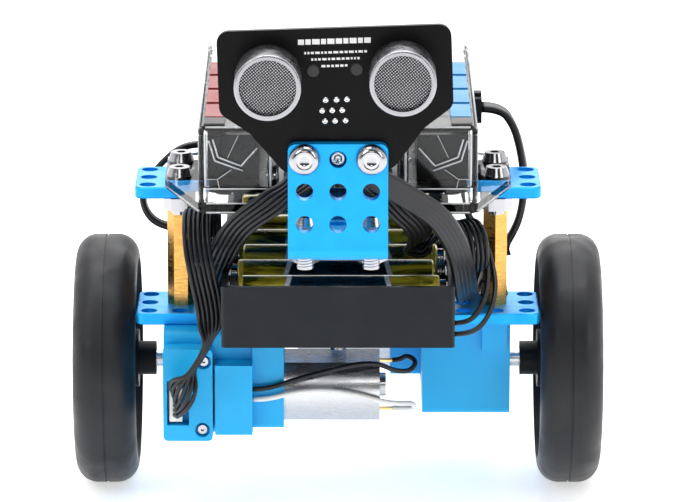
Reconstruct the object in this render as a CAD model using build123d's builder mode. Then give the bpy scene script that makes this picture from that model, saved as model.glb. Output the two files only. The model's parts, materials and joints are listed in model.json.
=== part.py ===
"""Two wheel robot car: a geared motor and a wheel on each side of two drilled plates, with a battery
holder between the plates, a clear controller case on top and a distance sensor on a front bracket.

Millimetres. +Z is up, -Y is the front and the axle runs along X. The origin is on the ground under
the middle of the bounding box. Depths below are measured from the axle, and forward is negative.
"""
import os
from math import acos, cos, pi, radians, sin, sqrt, tan

from build123d import *

# ------------------------------------------------------------------ driving dimensions
PITCH = 8.0  # hole grid of every metal piece
HOLE_R = 2.1  # clearance hole for an M4 screw
PLATE_T = 3.0
EDGE = 3.25  # last hole row to the edge of a plate

WHEEL_R = 32.25
WHEEL_W = 16.0
WHEEL_X = 59.6  # middle of a wheel
LOWER_TOP = 51.5  # top face of the lower plate
UPPER_TOP = 84.5  # top face of the upper plate
MID_ROW = -16.0  # middle hole row of both plates
PLATE_COLUMNS = 13
POST_X = 40.0  # standoffs and case screws

M4_R = 1.95  # screw thread
M4_TAPPED_R = 2.0
HEAD_R = 3.8
HEAD_T = 2.2
NUT_AF = 7.0
NUT_T = 3.2

CASE_W = 69.0
CASE_FRONT = -54.5
CASE_BACK = 53.5
CASE_WALL = 1.6
CASE_FLOOR = 2.5
CASE_TOP = UPPER_TOP + 22.0
EAR_X = 43.5
EAR_FRONT = -27.5
EAR_BACK = -4.5
RECESS_W = 30.0  # the notch in the middle of the cover's front
RECESS_D = 10.0

BOARD_Z = UPPER_TOP + 5.0  # underside of the controller board
BOARD_T = 1.6
CASE_SEAM = BOARD_Z + BOARD_T  # where the cover stands on the base
BOARD_W = 64.0
BOARD_FRONT = -52.5
BOARD_BACK = 51.0
PORT_YS = [-38.5 + 16.0 * k for k in range(5)]
PORT_SIZE = (15.0, 13.2, 11.4)  # depth, width, height of one six-pin port
PORT_CAVITY = (10.0, 9.8, 6.8)

BRACKET_W = 24.0
BRACKET_TALL = 29.0
BRACKET_EDGE = 3.75  # last hole to the free edge of the bracket
BRACKET_FACE = MID_ROW - 6 * PITCH - BRACKET_TALL + BRACKET_EDGE
SCREW_ROW_Z = UPPER_TOP - PLATE_T + BRACKET_TALL - BRACKET_EDGE

SENSOR_T = 1.6
SENSOR_ROLL = 1.9  # the board leans this many degrees on its two screws
BARREL_R = 8.0
BARREL_L = 12.0
BARREL_X = 16.0
BARREL_UP = 20.0  # above the screw row

HOLDER_W = 57.8
HOLDER_FRONT = -59.0
HOLDER_L = 95.0
HOLDER_H = 15.5
HOLDER_WALL = 1.5
CELL_R = 7.25
CELL_L = 50.5

GEARBOX_IN = 21.6  # inner face of a gearbox, from the middle
GEARBOX_OUT = 44.1
GEARBOX_SEAM = 31.0
GEARBOX_WALL = 1.6
GEARBOX_BOTTOM = 21.9
GEARBOX_TOP = LOWER_TOP - PLATE_T
GEARBOX_FRONT = -34.0
GEARBOX_BACK = 16.5
COVER_FRONT = -40.0
CLAMP_IN = 13.7
MOTOR_Y = -24.7
CAN_R = 10.0
CAN_FLAT = 15.1
CAN_IN = -10.6  # the can crosses the middle by this much
ARMATURE_R = 6.0
SHAFT_R = 2.3
RUN_GAP = 0.06  # radial clearance of a running fit
PIN_R = 1.0

MODULE = 0.4
BIG_TEETH = 34
SMALL_TEETH = 10
FACE_W = 3.0

# the object's middle lies under the origin, which sets where the axle is
FRONT_REACH = BRACKET_FACE + PLATE_T - BARREL_L
AXLE_Y = -(FRONT_REACH + CASE_BACK) / 2
AXLE_Z = WHEEL_R
UPRIGHT = Axis((0, AXLE_Y, 0), (0, 0, 1))

os.makedirs("parts", exist_ok=True)


def at(x, y, z):
    """A place given from the axle's middle on the ground, in the part's own frame."""
    return (x, AXLE_Y + y, z)


def write(piece, node):
    piece.label = node
    export_step(piece, f"parts/{node}.step")


def write_both(piece, name):
    """The left piece, and the same piece turned half a turn for the right side."""
    write(piece, f"left_{name}")
    write(piece.rotate(UPRIGHT, 180), f"right_{name}")


def write_pair(pieces, node):
    """The left pieces, and their copies for the right side, as one node."""
    write(Compound(children=pieces + [piece.rotate(UPRIGHT, 180) for piece in pieces]), node)


# ------------------------------------------------------------------ plates, strip and bracket
def drilled_plate(top):
    length = (PLATE_COLUMNS - 1) * PITCH + 2 * EDGE
    depth = 2 * PITCH + 2 * EDGE
    with BuildPart() as plate:
        with Locations(at(0, MID_ROW, top - PLATE_T / 2)):
            Box(length, depth, PLATE_T)
        fillet(plate.edges().filter_by(Axis.Z), 2.0)
        chamfer(plate.faces().sort_by(Axis.Z)[-1].edges(), 0.35)
        chamfer(plate.faces().sort_by(Axis.Z)[0].edges(), 0.35)
        with Locations(at(0, MID_ROW, top)):
            with GridLocations(PITCH, PITCH, PLATE_COLUMNS, 3):
                Hole(HOLE_R)
    return plate.part


write(drilled_plate(UPPER_TOP), "upper_plate")
write(drilled_plate(LOWER_TOP), "lower_plate")

STRIP_ROWS = 9
STRIP_TOP = UPPER_TOP - PLATE_T
STRIP_BOTTOM = STRIP_TOP - PLATE_T
STRIP_MID = MID_ROW + PITCH - (STRIP_ROWS - 1) * PITCH / 2

with BuildPart() as connector_strip:
    with Locations(at(0, STRIP_MID, STRIP_TOP - PLATE_T / 2)):
        Box(BRACKET_W, STRIP_ROWS * PITCH, PLATE_T)
    fillet(connector_strip.edges().filter_by(Axis.Z), 2.0)
    with Locations(at(0, STRIP_MID, STRIP_TOP)):
        with GridLocations(PITCH, PITCH, 3, STRIP_ROWS):
            Hole(HOLE_R)
write(connector_strip.part, "connector_strip")

FLANGE_BACK = BRACKET_FACE + BRACKET_TALL
with BuildPart() as sensor_bracket:
    corner = at(-BRACKET_W / 2, BRACKET_FACE, STRIP_TOP)
    with BuildSketch(Plane(origin=corner, x_dir=(0, 1, 0), z_dir=(1, 0, 0))):
        with BuildLine():
            Polyline(
                (0, 0),
                (BRACKET_TALL, 0),
                (BRACKET_TALL, PLATE_T),
                (PLATE_T, PLATE_T),
                (PLATE_T, BRACKET_TALL),
                (0, BRACKET_TALL),
                close=True,
            )
        make_face()
    extrude(amount=BRACKET_W)
    along_x = sensor_bracket.edges().filter_by(Axis.X)
    fillet(along_x.group_by(Axis.Z)[0].sort_by(Axis.Y)[0], 2.8)
    fillet(sensor_bracket.edges().filter_by(Axis.Y).group_by(Axis.Z)[-1], 2.0)
    fillet(sensor_bracket.edges().filter_by(Axis.Z).group_by(Axis.Y)[-1], 2.0)
    with Locations(at(0, MID_ROW - 7 * PITCH, UPPER_TOP)):
        with GridLocations(PITCH, PITCH, 3, 3):
            Hole(HOLE_R, depth=PLATE_T + 1)
    grid_middle = at(0, BRACKET_FACE, SCREW_ROW_Z - PITCH)
    with BuildSketch(Plane(origin=grid_middle, x_dir=(1, 0, 0), z_dir=(0, -1, 0))):
        with GridLocations(PITCH, PITCH, 3, 3):
            Circle(HOLE_R)
    extrude(amount=-PLATE_T, mode=Mode.SUBTRACT)
write(sensor_bracket.part, "sensor_bracket")


# ------------------------------------------------------------------ standoffs, screws and nuts
def screw(seat, direction, length, thread_r=M4_R, head_r=HEAD_R, head_t=HEAD_T, socket_r=1.25):
    """A domed head standing on seat, with its shank along direction."""
    outward = [-c for c in direction]
    with BuildPart() as piece:
        with BuildSketch(Plane(origin=seat, z_dir=direction)):
            Circle(thread_r)
        extrude(amount=length)
        with BuildSketch(Plane(origin=seat, z_dir=outward)):
            Circle(head_r)
        extrude(amount=head_t, taper=18)
        with BuildSketch(Plane(origin=seat, z_dir=outward).offset(head_t)):
            RegularPolygon(socket_r, 6)
        extrude(amount=-head_t * 0.6, mode=Mode.SUBTRACT)
    return piece.part


def nut(seat, direction):
    """A hexagon nut standing on seat and growing along direction."""
    with BuildPart() as piece:
        with BuildSketch(Plane(origin=seat, z_dir=direction)):
            RegularPolygon(NUT_AF / 2, 6, major_radius=False)
            Circle(M4_TAPPED_R, mode=Mode.SUBTRACT)
        extrude(amount=NUT_T)
    return piece.part


UP = (0, 0, 1)
DOWN = (0, 0, -1)
REARWARD = (0, 1, 0)
FORWARD = (0, -1, 0)
POST_AF = 6.0
POST_STUD = 8.0
POST_HOLE = 9.0
POST_BOTTOM = LOWER_TOP
POST_TOP = UPPER_TOP - PLATE_T

posts = []
for side, turn in ((-1, 0), (1, 30)):
    with BuildPart() as standoff:
        with BuildSketch(Plane(at(side * POST_X, MID_ROW, POST_BOTTOM))):
            RegularPolygon(POST_AF / 2, 6, major_radius=False, rotation=turn)
        extrude(amount=POST_TOP - POST_BOTTOM)
        with BuildSketch(Plane(at(side * POST_X, MID_ROW, POST_TOP))):
            Circle(M4_TAPPED_R)
        extrude(amount=-POST_HOLE, mode=Mode.SUBTRACT)
        with BuildSketch(Plane(at(side * POST_X, MID_ROW, POST_BOTTOM))):
            Circle(M4_R)
        extrude(amount=-POST_STUD)
    posts.append(standoff.part)
write(Compound(children=posts), "standoffs")

EAR_HEAD_T = 1.6  # the low head that the case ears cover
EAR_SCREW_R = 3.3
SIDES = (-1, 1)
SCREW_X = PITCH  # bracket and strip screws sit one hole either side of the middle
screws = [screw(at(s * POST_X, MID_ROW, UPPER_TOP), DOWN, 10, head_r=3.5, head_t=EAR_HEAD_T) for s in SIDES]
screws += [screw(at(s * POST_X, MID_ROW + PITCH, LOWER_TOP), DOWN, 9) for s in SIDES]
screws += [screw(at(s * SCREW_X, MID_ROW - 8 * PITCH, UPPER_TOP), DOWN, 7) for s in SIDES]
screws += [screw(at(s * SCREW_X, MID_ROW - 6 * PITCH, UPPER_TOP), DOWN, 10) for s in SIDES]
screws += [screw(at(s * SCREW_X, MID_ROW - PITCH, STRIP_BOTTOM), UP, 10) for s in SIDES]
screws += [screw(at(s * SCREW_X, MID_ROW + PITCH, STRIP_BOTTOM), UP, 10) for s in SIDES]
for row in (MID_ROW - PITCH, MID_ROW + PITCH):
    seat_z = UPPER_TOP + CASE_FLOOR
    screws += [screw(at(s * POST_X, row, seat_z), DOWN, 10, head_r=EAR_SCREW_R) for s in SIDES]

SENSOR_BACK = BRACKET_FACE + PLATE_T + SENSOR_T
sensor_screws = [
    screw(at(s * SCREW_X, BRACKET_FACE, SCREW_ROW_Z), REARWARD, 9, socket_r=1.45) for s in SIDES
]
write(Compound(children=sensor_screws), "sensor_screws")

nuts = [nut(at(s * SCREW_X, SENSOR_BACK, SCREW_ROW_Z), REARWARD) for s in SIDES]
nuts += [nut(at(s * SCREW_X, MID_ROW - 6 * PITCH, STRIP_BOTTOM), DOWN) for s in SIDES]
for row in (MID_ROW - PITCH, MID_ROW + PITCH):
    nuts += [nut(at(s * SCREW_X, row, UPPER_TOP), UP) for s in SIDES]
    nuts += [nut(at(s * POST_X, row, UPPER_TOP - PLATE_T), DOWN) for s in SIDES]
HOLDER_FLOOR = LOWER_TOP + HOLDER_WALL
HOLDER_SCREW_HEAD = 1.0
HOLDER_SCREW_L = 10.5
for row in (MID_ROW - PITCH, MID_ROW + PITCH):
    nuts.append(nut(at(0, row, LOWER_TOP - PLATE_T), DOWN))
write(Compound(children=nuts), "frame_nuts")

for row in (MID_ROW - PITCH, MID_ROW + PITCH):
    with BuildPart() as flat_screw:
        with BuildSketch(Plane(at(0, row, HOLDER_FLOOR))):
            Circle(3.4)
        extrude(amount=-HOLDER_SCREW_HEAD)
        with BuildSketch(Plane(at(0, row, HOLDER_FLOOR - HOLDER_SCREW_HEAD))):
            Circle(M4_R)
        extrude(amount=-HOLDER_SCREW_L)
    screws.append(flat_screw.part)
write(Compound(children=screws), "frame_screws")

# ------------------------------------------------------------------ battery holder
CELL_PITCH = (HOLDER_L - 2 * HOLDER_WALL) / 6
CELL_Z = HOLDER_FLOOR + CELL_R
CELL_YS = [HOLDER_FRONT + HOLDER_WALL + CELL_PITCH * (k + 0.5) for k in range(6)]
HOLDER_MID = HOLDER_FRONT + HOLDER_L / 2
LEAD_D = 1.3

with BuildPart() as battery_holder:
    with Locations(at(0, HOLDER_MID, LOWER_TOP + HOLDER_H / 2)):
        Box(HOLDER_W, HOLDER_L, HOLDER_H)
    fillet(battery_holder.edges().filter_by(Axis.Z), 1.2)
    with Locations(at(0, HOLDER_MID, HOLDER_FLOOR + HOLDER_H / 2)):
        Box(HOLDER_W - 2 * HOLDER_WALL, HOLDER_L - 2 * HOLDER_WALL, HOLDER_H, mode=Mode.SUBTRACT)
    for row in (MID_ROW - PITCH, MID_ROW + PITCH):
        with BuildSketch(Plane(at(0, row, HOLDER_FLOOR))):
            Circle(3.5)
        extrude(amount=-HOLDER_SCREW_HEAD, mode=Mode.SUBTRACT)
        with BuildSketch(Plane(at(0, row, HOLDER_FLOOR))):
            Circle(HOLE_R)
        extrude(amount=-HOLDER_WALL, mode=Mode.SUBTRACT)
write(battery_holder.part, "battery_holder")

CELL_CAP_R = 2.7
CELL_CAP_L = 1.2
cells = []
for k, y in enumerate(CELL_YS):
    way = 1 if k % 2 else -1
    with BuildPart() as cell:
        with BuildSketch(Plane(origin=at(-way * CELL_L / 2, y, CELL_Z), z_dir=(way, 0, 0))):
            Circle(CELL_R)
        extrude(amount=CELL_L - CELL_CAP_L)
        fillet(cell.edges(), 0.7)
        with BuildSketch(Plane(origin=at(way * (CELL_L / 2 - CELL_CAP_L), y, CELL_Z), z_dir=(way, 0, 0))):
            Circle(CELL_CAP_R)
        extrude(amount=CELL_CAP_L)
    cells.append(cell.part)
write(Compound(children=cells), "battery_cells")

CONTACT_T = 0.4
CONTACT_GAP = HOLDER_W / 2 - HOLDER_WALL - CELL_L / 2
contacts = []
for k, y in enumerate(CELL_YS):
    way = 1 if k % 2 else -1
    wall = HOLDER_W / 2 - HOLDER_WALL
    with BuildPart() as plate_contact:
        with Locations(at(way * (wall - CONTACT_T / 2), y, CELL_Z)):
            Box(CONTACT_T, 9, 9)
        with BuildSketch(Plane(origin=at(way * wall, y, CELL_Z), z_dir=(-way, 0, 0))):
            Circle(2.2)
        extrude(amount=CONTACT_GAP)
    with BuildPart() as spring_contact:
        with Locations(at(-way * (wall - CONTACT_T / 2), y, CELL_Z)):
            Box(CONTACT_T, 9, 9)
        with BuildSketch(Plane(origin=at(-way * wall, y, CELL_Z), z_dir=(way, 0, 0))):
            Circle(4.0)
            Circle(2.8, mode=Mode.SUBTRACT)
        extrude(amount=CONTACT_GAP)
    contacts += [plate_contact.part, spring_contact.part]
write(Compound(children=contacts), "battery_contacts")

# ------------------------------------------------------------------ controller case
CASE_L = CASE_BACK - CASE_FRONT
CASE_MID = (CASE_FRONT + CASE_BACK) / 2
WIRE_HOLES = ((31.0, -31.4), (31.0, -29.2))  # where the battery leads rise into the case
WIRE_HOLE_R = LEAD_D / 2 + 0.1
THICK_LEAD_D = 1.8
SIDE_HOLE = (5.0, 88.2)  # depth and height of the side lead's hole in the left wall
SIDE_HOLE_R = THICK_LEAD_D / 2 + 0.1
POST_LOCS = [(sx * 28.0, sy) for sx in SIDES for sy in (-42.0, 44.0)]

with BuildPart() as case_base:
    with BuildSketch(Plane(at(0, 0, UPPER_TOP))):
        with Locations((0, CASE_MID)):
            RectangleRounded(CASE_W, CASE_L, 3.5)
        with BuildLine():
            Polyline(
                (-CASE_W / 2, CASE_FRONT + 1.5),
                (-EAR_X, EAR_FRONT),
                (-EAR_X, EAR_BACK),
                (-CASE_W / 2, EAR_BACK + 6),
                (CASE_W / 2, EAR_BACK + 6),
                (EAR_X, EAR_BACK),
                (EAR_X, EAR_FRONT),
                (CASE_W / 2, CASE_FRONT + 1.5),
                close=True,
            )
        make_face()
    extrude(amount=CASE_FLOOR)
    with BuildSketch(Plane(at(0, 0, UPPER_TOP + CASE_FLOOR))):
        with Locations((0, CASE_MID)):
            RectangleRounded(CASE_W, CASE_L, 3.5)
            RectangleRounded(CASE_W - 2 * CASE_WALL, CASE_L - 2 * CASE_WALL, 2.0, mode=Mode.SUBTRACT)
    extrude(amount=CASE_SEAM - UPPER_TOP - CASE_FLOOR)
    with BuildSketch(Plane(at(0, 0, UPPER_TOP + CASE_FLOOR))):
        with Locations(*POST_LOCS):
            Circle(2.6)
    extrude(amount=BOARD_Z - UPPER_TOP - CASE_FLOOR)
    # screws through the ears, pockets over the standoff screws and the strip's nuts
    with BuildSketch(Plane(at(0, MID_ROW, UPPER_TOP))):
        for s in SIDES:
            with Locations((s * POST_X, PITCH), (s * POST_X, -PITCH)):
                Circle(HOLE_R)
            with Locations((s * SCREW_X, PITCH), (s * SCREW_X, -PITCH)):
                Circle(NUT_AF / 2 + 1.2)
    extrude(amount=CASE_FLOOR, mode=Mode.SUBTRACT)
    with BuildSketch(Plane(at(0, MID_ROW, UPPER_TOP))):
        with Locations((-POST_X, 0), (POST_X, 0)):
            Circle(3.8)
    extrude(amount=EAR_HEAD_T + 0.3, mode=Mode.SUBTRACT)
    with BuildSketch(Plane(at(0, 0, UPPER_TOP))):
        with Locations(*WIRE_HOLES):
            Circle(WIRE_HOLE_R)
    extrude(amount=CASE_FLOOR, mode=Mode.SUBTRACT)
    with BuildSketch(Plane(origin=at(-CASE_W / 2, *SIDE_HOLE), z_dir=(1, 0, 0))):
        Circle(SIDE_HOLE_R)
    extrude(amount=CASE_WALL, mode=Mode.SUBTRACT)
write(case_base.part, "case_base")

DOME_COUNT = 12
DOME_RING_R = 21.0
DOME_Y = 18.0
DOME_R = 4.2
DOME_SINK = 0.2  # a dome's middle above the cover's top
REAR_SOCKETS = ((-16.0, 12.2, 11.4), (9.0, 9.0, 11.0))  # place along X, width, height: data, power
SWITCH_X = 24.0
SWITCH_SLOT = (7.0, 3.4)
SWITCH_Z = BOARD_Z + BOARD_T + 4.5
BUTTON_XY = (0.0, -32.0)
BUTTON_R = 3.0
BUTTON_BASE_T = 3.4


def cover_outline(inset):
    """The cover's plan, pulled in by inset: corner blocks stand each side of the front recess."""
    half = CASE_W / 2 - inset
    notch = RECESS_W / 2 + inset
    front = CASE_FRONT + inset
    back = CASE_BACK - inset
    return [
        (-half, front),
        (-notch, front),
        (-notch, front + RECESS_D),
        (notch, front + RECESS_D),
        (notch, front),
        (half, front),
        (half, back),
        (-half, back),
    ]


with BuildPart() as case_cover:
    with BuildSketch(Plane(at(0, 0, CASE_SEAM))) as outline:
        Polygon(*cover_outline(0), align=None)
        fillet(outline.vertices(), 2.2)
    extrude(amount=CASE_TOP - CASE_SEAM)
    chamfer(case_cover.faces().sort_by(Axis.Z)[-1].edges(), 1.2)
    with BuildSketch(Plane(at(0, 0, CASE_SEAM))) as cavity:
        Polygon(*cover_outline(CASE_WALL), align=None)
        fillet(cavity.vertices(), 1.2)
    extrude(amount=CASE_TOP - CASE_SEAM - CASE_WALL, mode=Mode.SUBTRACT)
    port_notch_h = BOARD_Z + BOARD_T + PORT_SIZE[2] + 0.4 - CASE_SEAM
    for s in SIDES:
        for y in PORT_YS:
            with Locations(at(s * CASE_W / 2, y, CASE_SEAM + port_notch_h / 2)):
                Box(4 * CASE_WALL, PORT_SIZE[1] + 0.6, port_notch_h, mode=Mode.SUBTRACT)
    for x, width, height in REAR_SOCKETS:
        notch_h = BOARD_Z + BOARD_T + height + 0.4 - CASE_SEAM
        with Locations(at(x, CASE_BACK, CASE_SEAM + notch_h / 2)):
            Box(width + 0.6, 4 * CASE_WALL, notch_h, mode=Mode.SUBTRACT)
    with Locations(at(SWITCH_X, CASE_BACK, SWITCH_Z)):
        Box(SWITCH_SLOT[0], 4 * CASE_WALL, SWITCH_SLOT[1], mode=Mode.SUBTRACT)
    with BuildSketch(Plane(at(*BUTTON_XY, CASE_TOP))):
        Circle(BUTTON_R + 0.15)
    extrude(amount=-2 * CASE_WALL, mode=Mode.SUBTRACT)
    with Locations(at(0, DOME_Y, CASE_TOP + DOME_SINK)):
        with PolarLocations(DOME_RING_R, DOME_COUNT):
            Sphere(DOME_R, arc_size1=0)
write(case_cover.part, "case_cover")

with BuildPart() as controller_board:
    with BuildSketch(Plane(at(0, 0, BOARD_Z))):
        with Locations((0, (BOARD_FRONT + BOARD_BACK) / 2)):
            RectangleRounded(BOARD_W, BOARD_BACK - BOARD_FRONT, 2.0)
    extrude(amount=BOARD_T)
write(controller_board.part, "controller_board")
BOARD_TOP = BOARD_Z + BOARD_T

ports = []
for s in SIDES:
    for y in PORT_YS:
        with BuildPart() as port:
            with Locations(at(s * (CASE_W / 2 - PORT_SIZE[0] / 2), y, BOARD_TOP + PORT_SIZE[2] / 2)):
                Box(*PORT_SIZE)
            with Locations(at(s * (CASE_W / 2 - PORT_CAVITY[0] / 2), y, BOARD_TOP + PORT_SIZE[2] / 2)):
                Box(*PORT_CAVITY, mode=Mode.SUBTRACT)
        ports.append(port.part)
write(Compound(children=ports), "port_sockets")

TAG_W = 5.0
TAG_L = 13.6
TAG_T = 0.6
TAG_X = CASE_W / 2 - 1.6 - TAG_W / 2
GREY_TAG_Y = -49.6
GREY_TAG_L = 6.6


def port_tag(side, y, length=TAG_L):
    """A label on the cover's top, above a port or at the front end of a row of ports."""
    with BuildPart() as tag:
        with Locations(at(side * TAG_X, y, CASE_TOP + TAG_T / 2)):
            Box(TAG_W, length, TAG_T)
    return tag.part


write(Compound(children=[port_tag(-1, y) for y in PORT_YS[:-1]]), "red_tags")
write(Compound(children=[port_tag(1, y) for y in PORT_YS[:-1]]), "blue_tags")
write(Compound(children=[port_tag(s, GREY_TAG_Y, GREY_TAG_L) for s in SIDES]), "grey_tags")

with BuildPart() as ring_leds:
    with Locations(at(0, DOME_Y, BOARD_TOP + 0.8)):
        with PolarLocations(DOME_RING_R - 5.0, DOME_COUNT):
            Box(5, 5, 1.6)
write(ring_leds.part, "ring_leds")

MOTOR_SOCKET = (13.0, 5.5, 6.6)
MOTOR_SOCKET_X = 8.1
MOTOR_SOCKET_Y = BOARD_FRONT + MOTOR_SOCKET[1] / 2 + 0.3
with BuildPart() as motor_sockets:
    for s in SIDES:
        with Locations(at(s * MOTOR_SOCKET_X, MOTOR_SOCKET_Y, BOARD_TOP + MOTOR_SOCKET[2] / 2)):
            Box(*MOTOR_SOCKET)
write(motor_sockets.part, "motor_sockets")

# each chip's place along X and Y, then its width, depth and height
CHIPS = (
    (0, 18, 10, 10, 1.4),
    (-6, -16, 9, 7, 1.2),
    (7, -16, 9, 7, 1.2),
    (-12, -30, 8, 8, 1.2),
    (-3, 44, 7, 5, 2.0),
)
BUZZER = (10.0, -30.0, 4.5, 7.5)  # place along X and Y, radius and height
with BuildPart() as board_parts:
    for x, y, width, depth, height in CHIPS:
        with Locations(at(x, y, BOARD_TOP + height / 2)):
            Box(width, depth, height)
    with Locations(at(BUZZER[0], BUZZER[1], BOARD_TOP + BUZZER[3] / 2)):
        Cylinder(BUZZER[2], BUZZER[3])
    with Locations(at(*BUTTON_XY, BOARD_TOP + BUTTON_BASE_T / 2)):
        Box(6, 6, BUTTON_BASE_T)
write(board_parts.part, "board_parts")

REAR_DEPTH = 14.0
DATA_CAVITY = (8.4, 8.0, 7.4)
with BuildPart() as rear_sockets:
    for x, width, height in REAR_SOCKETS:
        with Locations(at(x, CASE_BACK - REAR_DEPTH / 2, BOARD_TOP + height / 2)):
            Box(width, REAR_DEPTH, height)
    data_x, data_height = REAR_SOCKETS[0][0], REAR_SOCKETS[0][2]
    with Locations(at(data_x, CASE_BACK - DATA_CAVITY[1] / 2, BOARD_TOP + data_height / 2)):
        Box(*DATA_CAVITY, mode=Mode.SUBTRACT)
    with BuildSketch(Plane(origin=at(REAR_SOCKETS[1][0], CASE_BACK, BOARD_TOP + 5.5), z_dir=REARWARD)):
        Circle(3.2)
        Circle(1.0, mode=Mode.SUBTRACT)
    extrude(amount=-9, mode=Mode.SUBTRACT)
write(rear_sockets.part, "rear_sockets")

SWITCH_TRAVEL = 2.0
SWITCH_BODY = (11.0, 5.0, 7.0)
SWITCH_FACE = CASE_BACK - 2.6
KNOB_W = 2.2
KNOB_L = 4.0
with BuildPart() as switch_body:
    with Locations(at(SWITCH_X, SWITCH_FACE - SWITCH_BODY[1] / 2, BOARD_TOP + SWITCH_BODY[2] / 2)):
        Box(*SWITCH_BODY)
    with Locations(at(SWITCH_X, SWITCH_FACE - 1.0, SWITCH_Z)):
        Box(KNOB_W + SWITCH_TRAVEL + 0.4, 2.0, 2.4, mode=Mode.SUBTRACT)
write(switch_body.part, "switch_body")

with BuildPart() as switch_knob:
    with Locations(at(SWITCH_X - SWITCH_TRAVEL / 2, CASE_BACK - KNOB_L / 2, SWITCH_Z)):
        Box(KNOB_W, KNOB_L, 2.0)
write(switch_knob.part, "switch_knob")

BUTTON_TRAVEL = 0.6
with BuildPart() as reset_button:
    with BuildSketch(Plane(at(*BUTTON_XY, BOARD_TOP + BUTTON_BASE_T + BUTTON_TRAVEL + 0.1))):
        Circle(BUTTON_R - 1.2)
    extrude(amount=CASE_TOP - CASE_WALL - 1.2 - BOARD_TOP - BUTTON_BASE_T - BUTTON_TRAVEL - 0.1)
    with BuildSketch(Plane(at(*BUTTON_XY, CASE_TOP - CASE_WALL - 1.2))):
        Circle(BUTTON_R)
    extrude(amount=CASE_WALL + 2.2)
    fillet(reset_button.faces().sort_by(Axis.Z)[-1].edges(), 0.5)
write(reset_button.part, "reset_button")


# ------------------------------------------------------------------ distance sensor
ROLL_AXIS = Axis(at(0, 0, SCREW_ROW_Z), (0, 1, 0))
SENSOR_FACE = BRACKET_FACE + PLATE_T
sensor_plane = Plane(origin=at(0, SENSOR_FACE, SCREW_ROW_Z), x_dir=(1, 0, 0), z_dir=(0, -1, 0))
SENSOR_HALF_W = 28.0
SENSOR_TOP = 31.5  # above the screw row
SENSOR_SHOULDER = 7.5
SENSOR_NECK = 11.5

with BuildPart() as sensor_board:
    with BuildSketch(sensor_plane) as outline:
        Polygon(
            (-SENSOR_HALF_W, SENSOR_TOP),
            (SENSOR_HALF_W, SENSOR_TOP),
            (SENSOR_HALF_W, SENSOR_SHOULDER + 4),
            (SENSOR_HALF_W - 7, SENSOR_SHOULDER - 1),
            (SENSOR_NECK + 1.5, -3.5),
            (-SENSOR_NECK - 1.5, -3.5),
            (-SENSOR_HALF_W + 7, SENSOR_SHOULDER - 1),
            (-SENSOR_HALF_W, SENSOR_SHOULDER + 4),
            align=None,
        )
        fillet(outline.vertices(), 3.0)
        with Locations((-SCREW_X, 0), (SCREW_X, 0)):
            Circle(M4_R + 0.5, mode=Mode.SUBTRACT)
    extrude(amount=-SENSOR_T)
write(sensor_board.part.rotate(ROLL_AXIS, -SENSOR_ROLL), "sensor_board")

BARREL_WALL = 1.2
BARREL_RECESS = 2.0
with BuildPart() as transducers:
    with BuildSketch(sensor_plane):
        with Locations((-BARREL_X, BARREL_UP), (BARREL_X, BARREL_UP)):
            Circle(BARREL_R)
    extrude(amount=BARREL_L)
    fillet(transducers.faces().sort_by(Axis.Y)[:2].edges(), 0.5)
    with BuildSketch(sensor_plane.offset(BARREL_L)):
        with Locations((-BARREL_X, BARREL_UP), (BARREL_X, BARREL_UP)):
            Circle(BARREL_R - BARREL_WALL)
    extrude(amount=-BARREL_RECESS, mode=Mode.SUBTRACT)
write(transducers.part.rotate(ROLL_AXIS, -SENSOR_ROLL), "transducers")

with BuildPart() as transducer_meshes:
    with BuildSketch(sensor_plane.offset(BARREL_L - BARREL_RECESS)):
        with Locations((-BARREL_X, BARREL_UP), (BARREL_X, BARREL_UP)):
            Circle(BARREL_R - BARREL_WALL)
    extrude(amount=0.5)
write(transducer_meshes.part.rotate(ROLL_AXIS, -SENSOR_ROLL), "transducer_meshes")

with BuildPart() as sensor_rivets:
    with BuildSketch(sensor_plane):
        with Locations((-5.2, BARREL_UP + 1.3), (5.2, BARREL_UP + 1.3)):
            Circle(1.6)
    extrude(amount=0.9, taper=15)
write(sensor_rivets.part.rotate(ROLL_AXIS, -SENSOR_ROLL), "sensor_rivets")

SENSOR_PORT = (13.2, 15.0, 11.4)
SENSOR_PORT_UP = 12.5
SENSOR_CAVITY_Z = SCREW_ROW_Z + SENSOR_PORT_UP - SENSOR_PORT[1] / 2 + PORT_CAVITY[0] / 2
with BuildPart() as sensor_socket:
    with Locations(at(0, SENSOR_BACK + SENSOR_PORT[2] / 2, SCREW_ROW_Z + SENSOR_PORT_UP)):
        Box(SENSOR_PORT[0], SENSOR_PORT[2], SENSOR_PORT[1])
    with Locations(at(0, SENSOR_BACK + SENSOR_PORT[2] / 2, SENSOR_CAVITY_Z)):
        Box(PORT_CAVITY[1], PORT_CAVITY[2], PORT_CAVITY[0], mode=Mode.SUBTRACT)
write(sensor_socket.part.rotate(ROLL_AXIS, -SENSOR_ROLL), "sensor_socket")

# six-pin plugs: one under the sensor, one in a right-hand port
PLUG_L = 12.5
PLUG_CLEARANCE = 0.1
PLUG_W = PORT_CAVITY[1] - 2 * PLUG_CLEARANCE
PLUG_H = PORT_CAVITY[2] - 2 * PLUG_CLEARANCE
PLUG_PORT_Y = PORT_YS[3]
PORT_Z = BOARD_TOP + PORT_SIZE[2] / 2
PLUG_FACE_X = CASE_W / 2 - PORT_CAVITY[0] + PLUG_L
SENSOR_PLUG_TOP = SENSOR_CAVITY_Z + PORT_CAVITY[0] / 2
SENSOR_PLUG_Y = SENSOR_BACK + SENSOR_PORT[2] / 2


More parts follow.
